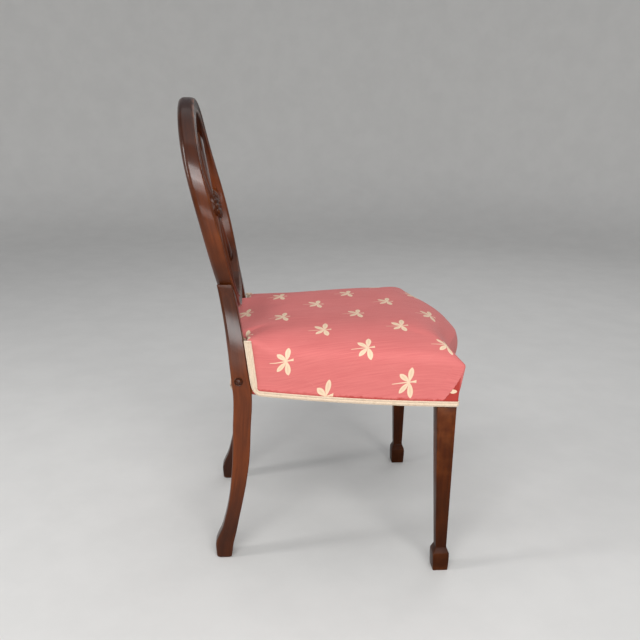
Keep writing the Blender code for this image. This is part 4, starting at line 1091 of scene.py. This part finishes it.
def swellCover(cover):      # the cloth swells over its stuffing, held where it is tacked
    before, normals = readPoints(cover.data), readPoints(cover.data, "normal")
    fromPost = postAt(before[:, 2])[:, 2] - before[:, 1]
    beside = (fromPost < coverSwell["postTacked"]) & (before[:, 2] < seat["postEdge"])
    pinned = (before[:, 2] < coverFoot + coverSwell["tacked"]) | beside
    group = cover.vertex_groups.new(name="held")
    group.add([int(i) for i in np.flatnonzero(pinned)], 1.0, "REPLACE")
    modifier = cover.modifiers.new("swell", "CLOTH")
    settings = modifier.settings
    settings.vertex_group_mass = "held"
    settings.use_pressure = True
    settings.uniform_pressure_force = coverSwell["pressure"]
    settings.tension_stiffness = settings.compression_stiffness = coverSwell["stiffness"]
    settings.bending_stiffness = coverSwell["bending"]
    settings.effector_weights.gravity = 0
    for step in range(1, coverSwell["frames"] + 1):
        bpy.context.scene.frame_set(step)
    activate(cover)
    bpy.ops.object.modifier_apply(modifier=modifier.name)
    swell = np.clip(((readPoints(cover.data) - before) * normals).sum(axis=1), 0, coverSwell["cap"])
    ends = np.empty(len(cover.data.edges) * 2, np.int32)
    cover.data.edges.foreach_get("vertices", ends)
    first, second = ends.reshape(-1, 2).T
    count = np.bincount(ends, minlength=len(swell))
    for _ in range(coverSwell["evenTurns"]):        # evened over the neighbours, so that it leaves no step
        total = np.bincount(first, swell[second], len(swell)) + np.bincount(second, swell[first], len(swell))
        swell = np.where(pinned, 0, mix(swell, total / count, 0.5))
    swell *= fade(fromPost, *coverSwell["postBand"])
    setPoints(cover.data, before + normals * swell[:, None])
    cover.vertex_groups.clear()
    bpy.context.scene.frame_set(1)
    print("cover swelled by up to", round(float(swell.max()), 4), "mean", round(float(swell.mean()), 4))


def buildCover():
    rings = closedEnds(seatRings(), start=False)
    shrunk = closedEnds(seatRings(coverSwell["shrink"]), start=False)
    keep = fade(rings[:, :, 2:], coverFoot + coverSwell["shrinkFrom"], coverFoot)
    start = mix(shrunk, rings, keep)
    cover = gridPiece("seatCover", start, 180, {"clothCoord": clothPlaces(rings)})
    swellCover(cover)
    addModifier(cover, "SUBSURF", levels=1, render_levels=1)
    area = faceArea(cover)
    addModifier(cover, "SOLIDIFY", thickness=coverSwell["thickness"], offset=-1)
    finishPiece(cover, coralCloth, "seat_cloth", "seat_cover")
    flaps = [buildPleat(cover, rings, side, sign) for side, sign in sides]
    print("cover area", round(area, 4))


pleat = {"reach": 0.034, "lift": 0.0016, "roll": 0.0011, "sink": 0.0007, "bow": 0.004, "stations": 48,
         "end": 0.985, "wave": 0.0005, "waves": 60, "footStep": 0.0005, "lap": 12, "flatBand": (0.86, 1.0),
         "flatten": 0.6}


def pleatSection():     # how far behind the fold's edge and how high over the cloth its lines lie
    reach, lift, roll, sink = pleat["reach"], pleat["lift"], pleat["roll"], pleat["sink"]
    share = np.linspace(0, 1, pleat["lap"])
    behind = np.concatenate([reach * (1 - share) ** 1.3, [-0.6 * roll, -roll, -0.7 * roll, 0.001],
                             reach * np.array((0.3, 0.65, 1.0))])
    height = np.concatenate([mix(-sink, lift, share ** 0.8), lift * np.array((0.82, 0.45, 0.1)),
                             np.full(4, -sink)])
    return behind, height


def buildPleat(cover, rings, side, sign):       # the fold at a front corner, lapped over the cloth below it
    flat = clothPlaces(rings)[:seat["wallRings"] + 1, wallStart:cornerAt + 1]
    wall = rings[:seat["wallRings"] + 1, wallStart:cornerAt + 1]
    (topY, topZ), (footY, footZ) = cloth["foldTop"], cloth["foldFoot"]
    behind, height = pleatSection()
    cover.data.update()
    sections, places = [], []
    for t in np.linspace(0.0, pleat["end"], pleat["stations"]):
        y = mix(footY, topY, t) - pleat["bow"] * math.sin(math.pi * t)
        y += pleat["wave"] * math.sin(t * pleat["waves"])
        z = mix(footZ + pleat["footStep"], topZ, t)
        lift = 1 - pleat["flatten"] * fade(t, *pleat["flatBand"])
        section, place = [], []
        for d, h in zip(behind, height):
            found, spot, normal, _ = cover.ray_cast((sign, y + d, z), (-sign, 0, 0))
            if not found:
                spot, normal = Vector(section[-1]) - Vector((0, 0.001, 0)), Vector((sign, 0, 0))
                h = 0
            section.append(tuple(spot + normal * (h * lift)))
            layers = (wall[:, :, 2], flat[:, :, 0], flat[:, :, 1])
            levels, across, along = [[np.interp(-(y + d), -ring[:, 1], values)
                                      for ring, values in zip(wall, layer)] for layer in layers]
            place.append((sign * np.interp(z, levels, across), np.interp(z, levels, along), z - coverFoot))
        sections.append(section)
        places.append(place)
    places = closedEnds(places)
    flap = gridPiece(f"cornerPleat_{side}", closedEnds(sections), 60,
                     {"clothCoord": places, "flapMark": np.ones_like(places)})
    return finishPiece(flap, coralCloth, "seat_cloth")


buildCover()
print("seat cover made")


# Braid round the lower edge of the cloth

braid = {"width": 0.0115, "drop": 0.0015, "corner": 0.007, "height": 0.0031, "base": 0.0008,
         "period": 0.0032, "step": 0.0007, "postTop": 0.4860, "lift": 0.0004, "scallop": 0.05,
         "backScallop": 0.15, "postWiden": 0.3, "postBand": (0.004, 0.024), "roll": 0.0034, "rollTurn": 3.6,
         "rollSteps": 14, "rollPlace": 0.0009, "lines": 17, "linesUnder": 4, "bendSteps": 24,
         "bands": ((-0.32, 0.40, 0.78, 0.0, 2.2), (0.66, 0.22, 0.80, 2.4, -2.0)),
         "light": (0.84, 0.69, 0.53, 1), "dark": (0.66, 0.50, 0.36, 1), "dirt": (0.55, 0.40, 0.27, 1)}
braidLines = [(c, 0) for c in np.linspace(-1, 1, braid["lines"])]
braidLines += [(c, 1) for c in np.linspace(0.9, -0.9, braid["linesUnder"])]     # 1 stands for underneath
braidHalf = braid["width"] / 2
braidMiddle = railBottom - braid["drop"] + braidHalf
wallGrid = {"below": 0.004, "above": 0.006, "heights": 40, "around": 900}
underBraid = {"rays": (-0.3, 0.3, 0.9), "start": 0.02, "reach": 0.03, "least": -0.002, "evenTurns": 30}


def makeBraidCloth():
    constants = {"Roughness": 0.85, "Sheen Weight": 0.3, "Sheen Roughness": 0.5, "IOR": 1.4}
    material, tree, shader = newMaterial("creamBraid", constants)
    along, across, _ = splitAxes(attribute(tree, "braidCoord"))
    strand = calc("SINE", along * (math.tau / braid["period"] * 2) + across * 9.0)
    place = objectPlace(tree)
    color = blendColor(rise(strand, -0.9, 0.6), braid["dark"], braid["light"])
    color = blendColor(rise(noise(place, 120.0, 4.0, 0.6), 0.5, 0.72, 0.0, 0.5), color, braid["dirt"])
    feed(shader, {"Base Color": color})
    setBump(shader, strand + noise(place, 900.0, 2.0), 0.5, 0.0004)
    return material


def wallSurface():      # the wall from the left post round to the right one, for a range of heights
    low, high = railBottom - wallGrid["below"], seat["postEdge"] + wallGrid["above"]
    heights = np.linspace(low, high, wallGrid["heights"])
    walls = []
    for z in heights:
        half = wallPlan(z)
        path = np.concatenate([half, half[-2::-1] * (-1, 1)])
        around = runLength(path)[-1]
        walls.append(pointsAt(path, np.linspace(0, around, wallGrid["around"])))
    return heights, np.array(walls), around


wallHeights, wallPaths, wallAround = wallSurface()


def onWall(around, z):      # plan point and outward direction at a distance round the wall
    last = wallPaths.shape[1] - 1
    k = np.clip((z - wallHeights[0]) / (wallHeights[1] - wallHeights[0]), 0, len(wallHeights) - 1.001)
    i = k.astype(int)
    place = np.clip(around / wallAround, 0, 1) * last
    j = np.clip(place.astype(int), 0, last - 1)
    a, b = (k - i)[:, None], (place - j)[:, None]
    low = mix(wallPaths[i, j], wallPaths[i, j + 1], b)
    high = mix(wallPaths[i + 1, j], wallPaths[i + 1, j + 1], b)
    tangent = wallPaths[i, np.minimum(j + 4, last)] - wallPaths[i, np.maximum(j - 3, 0)]
    tangent /= np.linalg.norm(tangent, axis=1)[:, None]
    return mix(low, high, a), np.column_stack([-tangent[:, 1], tangent[:, 0]])


def braidPath():        # centre line as (distance round, height), every step along it
    reach = braidHalf + braid["corner"]
    fromPost = braidHalf * (1 + braid["postWiden"])
    turn = np.linspace(0, math.pi / 2, braid["bendSteps"])
    bend = np.column_stack([fromPost + reach * (1 - np.cos(turn)), braidMiddle + reach * (1 - np.sin(turn))])
    start = np.concatenate([[(fromPost, braid["postTop"])], bend])
    points = np.concatenate([start, start[::-1] * (-1, 1) + (wallAround, 0)])
    at = np.arange(0, runLength(points)[-1], braid["step"])
    return at, pointsAt(points, at)


def braidProfile(at, across):       # height over the cloth: two corded bands with a groove between
    beat = math.tau / braid["period"]
    raised = 0
    for middle, width, level, start, slant in braid["bands"]:
        knots = level + (1 - level) * np.sin(at * beat + start + across * slant)
        raised = np.maximum(raised, np.exp(-((across - middle) / width) ** 4) * knots)
    return mix(braid["base"], braid["height"], raised)


def braidRings(at, scallop, lay):       # lay puts a line in place, from its way across and its height
    columns, places = [], []
    for c, under in braidLines:
        wave = np.sin(at * math.tau / braid["period"] + (0 if c > 0 else 1.7))
        height = np.full(len(at), braid["lift"]) + (0 if under else braidProfile(at, c))
        columns.append(lay(c * (1 + scallop * wave * abs(c)), height))
        places.append(np.column_stack([at, np.full(len(at), c), np.full(len(at), under)]))
    return np.stack(columns, axis=1), np.stack(places, axis=1)


def clothUnder(path, reach):        # how far the cloth stands out from the plain wall, along the braid
    cover = bpy.data.objects["seatCover"]
    rest = np.full(len(path), underBraid["least"])
    for c in underBraid["rays"]:
        spot = path + reach * c
        plan, out = onWall(spot[:, 0], spot[:, 1])
        start = np.column_stack([plan + out * underBraid["start"], spot[:, 1]])
        for i, (point, way) in enumerate(zip(start, out)):
            point, inward = Vector(point), Vector((-way[0], -way[1], 0))
            found, place, _, _ = cover.ray_cast(point, inward, distance=underBraid["reach"])
            if found:
                rest[i] = max(rest[i], underBraid["start"] - (place - point).length)
    for _ in range(underBraid["evenTurns"]):
        rest[1:-1] = (rest[:-2] + 2 * rest[1:-1] + rest[2:]) / 4
    print("cloth under the braid stands out by", rest.min().round(4), "to", rest.max().round(4))
    return rest


def turnOver(ring, place, way):     # the last of the braid, rolled out over itself
    lower, middle, upper, under = ring[0], ring[braid["lines"] // 2], ring[braid["lines"] - 1], ring[-2]
    out = Vector(middle - under).normalized()
    axis = Vector(upper - lower).normalized()
    if axis.cross(Vector((0, 0, 1))).dot(out) < 0:
        axis = -axis
    heart = Vector(under) + out * braid["roll"]
    rings, places = [], []
    for step in range(1, braid["rollSteps"] + 1):
        turn = Matrix.Rotation(braid["rollTurn"] * step / braid["rollSteps"], 3, axis)
        rings.append([tuple(heart + turn @ (Vector(point) - heart)) for point in ring])
        places.append(place + (way * braid["rollPlace"] * step, 0, 0))
    return np.array(rings), np.array(places)


def finishBraid(name, node, rings, places):
    piece = gridPiece(name, closedEnds(rings), 60, {"braidCoord": closedEnds(places)})
    finishPiece(piece, creamBraid, "braid", node)


def buildBraid():
    at, path = braidPath()
    half = braidHalf * (1 + braid["postWiden"] * fade(path[:, 1] - braidMiddle, *braid["postBand"]))
    tangent = np.gradient(path, axis=0)
    tangent /= np.linalg.norm(tangent, axis=1)[:, None]
    reach = np.column_stack([-tangent[:, 1], tangent[:, 0]]) * half[:, None]
    rest = clothUnder(path, reach)

    def lay(across, height):
        spot = path + reach * across[:, None]
        plan, out = onWall(spot[:, 0], spot[:, 1])
        return np.column_stack([plan + out * (height + rest)[:, None], spot[:, 1]])

    rings, places = braidRings(at, braid["scallop"], lay)
    first, firstPlaces = turnOver(rings[0], places[0], -1)
    last, lastPlaces = turnOver(rings[-1], places[-1], 1)
    finishBraid("gimpFront", "gimp_front", np.concatenate([first[::-1], rings, last]),
                np.concatenate([firstPlaces[::-1], places, lastPlaces]))


def buildBackBraid():
    low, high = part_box("gimp_back")
    at = np.arange(0, high.x - low.x, braid["step"])

    def lay(across, height):
        z = braidMiddle + across * braidHalf
        return np.column_stack([low.x + at, postAt(z)[:, 3] + wallOffset(z) + height, z])

    finishBraid("gimpBack", "gimp_back", *braidRings(at, braid["backScallop"], lay))


creamBraid = makeBraidCloth()
buildBraid()
buildBackBraid()
print("braid made")


# Inside and under the seat

strap = {"count": 3, "stations": 120, "across": 9, "top": 0.0013, "bottom": 0.0001}
stuffing = {"inset": 0.0062, "wallRings": 5, "topRings": 16}
sheets = {"thickness": 0.0008, "edgeSteps": 5, "rings": 16, "wave": 0.25, "waves": 0.9}


def makeJute(name, light, dark, pitch):
    material, tree, shader = newMaterial(name, {"Roughness": 0.92, "IOR": 1.4})
    place = objectPlace(tree)
    x, y, _ = splitAxes(place)
    beat = math.tau / pitch
    weave = calc("SINE", x * beat) * calc("SINE", y * beat)
    fluff = noise(place, 700.0)
    feed(shader, {"Base Color": blendColor(rise(weave * 0.4 + fluff, 0.2, 0.9), dark, light)})
    setBump(shader, weave + fluff, 0.5, 0.0006)
    return material


jute = makeJute("jute", (0.46, 0.33, 0.19, 1), (0.24, 0.16, 0.08, 1), 0.0034)
cambric = makeJute("blackCambric", (0.035, 0.034, 0.034, 1), (0.012, 0.012, 0.012, 1), 0.0012)
hair = makeJute("curledHair", (0.30, 0.24, 0.17, 1), (0.09, 0.07, 0.05, 1), 0.009)


def outlineOf(name):        # corners of a flat node, in order round its middle
    points = nodePoints(name)
    points = points[points[:, 2] > points[:, 2].max() - measure["near"]]
    turn = np.arctan2(points[:, 1] - points[:, 1].mean(), points[:, 0])
    return points[np.argsort(turn)]


def sheetPiece(name, node, sag, material, slot):
    outline = outlineOf(node)
    heart = np.array((0, outline[:, 1].mean(), outline[:, 2].mean()))
    edges = np.concatenate([np.linspace(a, b, sheets["edgeSteps"], endpoint=False)
                            for a, b in zip(outline, np.roll(outline, -1, axis=0))])
    wave = sheets["wave"] * np.sin(np.arange(len(edges)) * sheets["waves"])
    rings = []
    for share in np.linspace(1, 0.02, sheets["rings"]):
        ring = mix(heart, edges, share)
        ring[:, 2] -= sag * (1 - share ** 2) * (1 + wave * share)
        rings.append(ring)
    piece = gridPiece(name, closedEnds(rings, start=False), 180)
    addModifier(piece, "SOLIDIFY", thickness=sheets["thickness"], offset=0)
    finishPiece(piece, material, slot, node)


def strapLines(node, way, at):      # the lower face and the two long edges of a strap, at places along it
    points = nodePoints(node)
    stops = np.unique(points[:, way].round(4))
    groups = [points[np.abs(points[:, way] - stop) < measure["near"]] for stop in stops]
    lines = [[group[:, 2].min() for group in groups], [group[:, 1 - way].min() for group in groups],
             [group[:, 1 - way].max() for group in groups]]
    return [np.interp(at, stops, line) for line in lines]


def buildStraps():
    for kind, way in (("long", 1), ("cross", 0)):
        for number in range(1, strap["count"] + 1):
            node = f"web_{kind}_{number}"
            low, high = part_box(node)
            at = np.linspace(low[way] + measure["near"], high[way] - measure["near"], strap["stations"])
            rings = []
            for run, bottom, near, far in zip(at, *strapLines(node, way, at)):
                across = np.linspace(near, far, strap["across"])
                across = np.concatenate([across, across[::-1]])
                up = bottom + np.repeat((strap["top"], strap["bottom"]), strap["across"])
                run = np.full(len(across), run)
                rings.append(np.column_stack([across, run, up] if way else [run, across, up]))
            piece = gridPiece(f"strap_{kind}_{number}", closedEnds(rings), 60)
            finishPiece(piece, jute, "jute", node)


def buildStuffing():
    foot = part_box("stuffing")[0].z
    rings = seatRings(stuffing["inset"], foot, stuffing["wallRings"], stuffing["topRings"])
    piece = gridPiece("hairStuffing", closedEnds(rings), 60)
    finishPiece(piece, hair, "hair_stuffing", "stuffing")


buildStraps()
buildStuffing()
sheetPiece("hessianSheet", "hessian", 0.0003, jute, "jute")
sheetPiece("dustCover", "dust_cover", 0.0, cambric, "under_cloth")
for name, node in nodes.items():        # frame pieces that keep their solid
    if node.hide_render:
        continue
    if "block" in name or "dowel" in name:
        setMaterial(node, beech)
    elif "screw" in name:
        setMaterial(node, screwSteel)
    else:
        setMaterial(node, railWood["Y" if "side" in name else "X"])
print("inside of the seat made")


# Studio: a pale round floor that turns up into a wall, soft panels and the camera

studio = {"profile": ((0.02, 0), (3.6, 0), (4.3, 0.06), (4.75, 0.3), (4.95, 0.8), (5.0, 1.5), (5.0, 2.8)),
          "sides": 96, "color": (0.56, 0.55, 0.53, 1), "shown": (0.74, 0.73, 0.71, 1), "spots": 0.04,
          "world": (0.62, 0.65, 0.70, 1), "worldStrength": 0.33}
panels = {      # place, target, size and light
    "edgePanel": ((-0.65, 2.5, 1.85), (-0.2, 0.27, 0.85), (0.45, 1.6), 8.0),
    "lowPanel": ((-3.6, -0.35, 0.70), (0, -0.3, 0.5), (4.1, 0.5), 7.0),
    "midPanel": ((-3.0, 0.2, 2.25), (0, 0.1, 0.6), (3.4, 0.8), 3.5),
    "highPanel": ((-2.9, 0.2, 3.0), (0, 0.1, 0.6), (3.4, 1.0), 6.8),
    "topPanel": ((0.4, 0.0, 3.6), (0, 0, 0.4), (3.0, 3.0), 0.7),
    "farFill": ((2.6, -1.6, 2.4), (0, 0, 0.5), (2.0, 2.0), 0.9)}
view = {"place": (-1.72438, 0.14378, 0.93964), "heading": -0.08253, "pitch": math.radians(15.084),
        "roll": 0.01655, "lens": 44.48, "sensor": 36.0}


def makePaleFloor():
    material, tree, shader = newMaterial("paleFloor", {"Roughness": 0.85})
    rays = tree.nodes.new("ShaderNodeLightPath").outputs
    seen = largest(*[Wire(tree, rays[f"Is {kind} Ray"]) for kind in ("Camera", "Glossy", "Transmission")])
    color = blendColor(seen, studio["color"], studio["shown"])      # paler to the eye than in its light
    spots = rise(noise(objectPlace(tree), 7.0, 6.0, 0.6), 0.3, 0.7, studio["spots"], 0.0)
    feed(shader, {"Base Color": blendColor(spots, color, (0, 0, 0, 1))})
    return material


def buildStudio():
    turns = np.linspace(0, math.tau, studio["sides"], endpoint=False)
    rings = [np.column_stack([r * np.cos(turns), r * np.sin(turns), 0 * turns + z])
             for r, z in ((0, 0),) + studio["profile"]]
    room = gridPiece("studioFloor", rings, 180)
    if room.data.polygons[0].normal.z < 0:
        room.data.flip_normals()
    addModifier(room, "SUBSURF", levels=1, render_levels=1)
    setMaterial(room, makePaleFloor())
    world = bpy.data.worlds.new("studioLight")
    bpy.context.scene.world = world
    world.use_nodes = True
    light = {"Color": studio["world"], "Strength": studio["worldStrength"]}
    feed(world.node_tree.nodes["Background"], light)


def buildPanels():
    for name, (place, target, (width, height), light) in panels.items():
        lamp = bpy.data.lights.new(name, "AREA")
        lamp.shape = "RECTANGLE"
        lamp.size, lamp.size_y = width, height
        lamp.energy = light * math.pi * width * height      # so that light is its brightness
        holder = bpy.data.objects.new(name, lamp)
        bpy.context.scene.collection.objects.link(holder)
        holder.visible_camera = False
        holder.location = place
        ahead = Vector(target) - Vector(place)
        holder.rotation_euler = ahead.to_track_quat("-Z", "Y").to_euler()


def buildCamera():
    heading, pitch, roll = view["heading"], view["pitch"], view["roll"]
    level = Vector((math.cos(heading), math.sin(heading), 0))
    right = Vector((math.sin(heading), -math.cos(heading), 0))
    ahead = level * math.cos(pitch) - Vector((0, 0, math.sin(pitch)))
    up = Vector((0, 0, math.cos(pitch))) + level * math.sin(pitch)
    turned = right * math.cos(roll) + up * math.sin(roll)
    raised = up * math.cos(roll) - right * math.sin(roll)
    data = bpy.data.cameras.new("photoCamera")
    data.lens, data.sensor_width = view["lens"], view["sensor"]
    camera = bpy.data.objects.new("photoCamera", data)
    bpy.context.scene.collection.objects.link(camera)
    axes = Matrix((turned, raised, -ahead)).transposed()
    camera.matrix_world = Matrix.Translation(view["place"]) @ axes.to_4x4()
    bpy.context.scene.camera = camera


buildStudio()
buildPanels()
buildCamera()
bpy.context.scene.view_settings.view_transform = "Standard"
print("studio made")
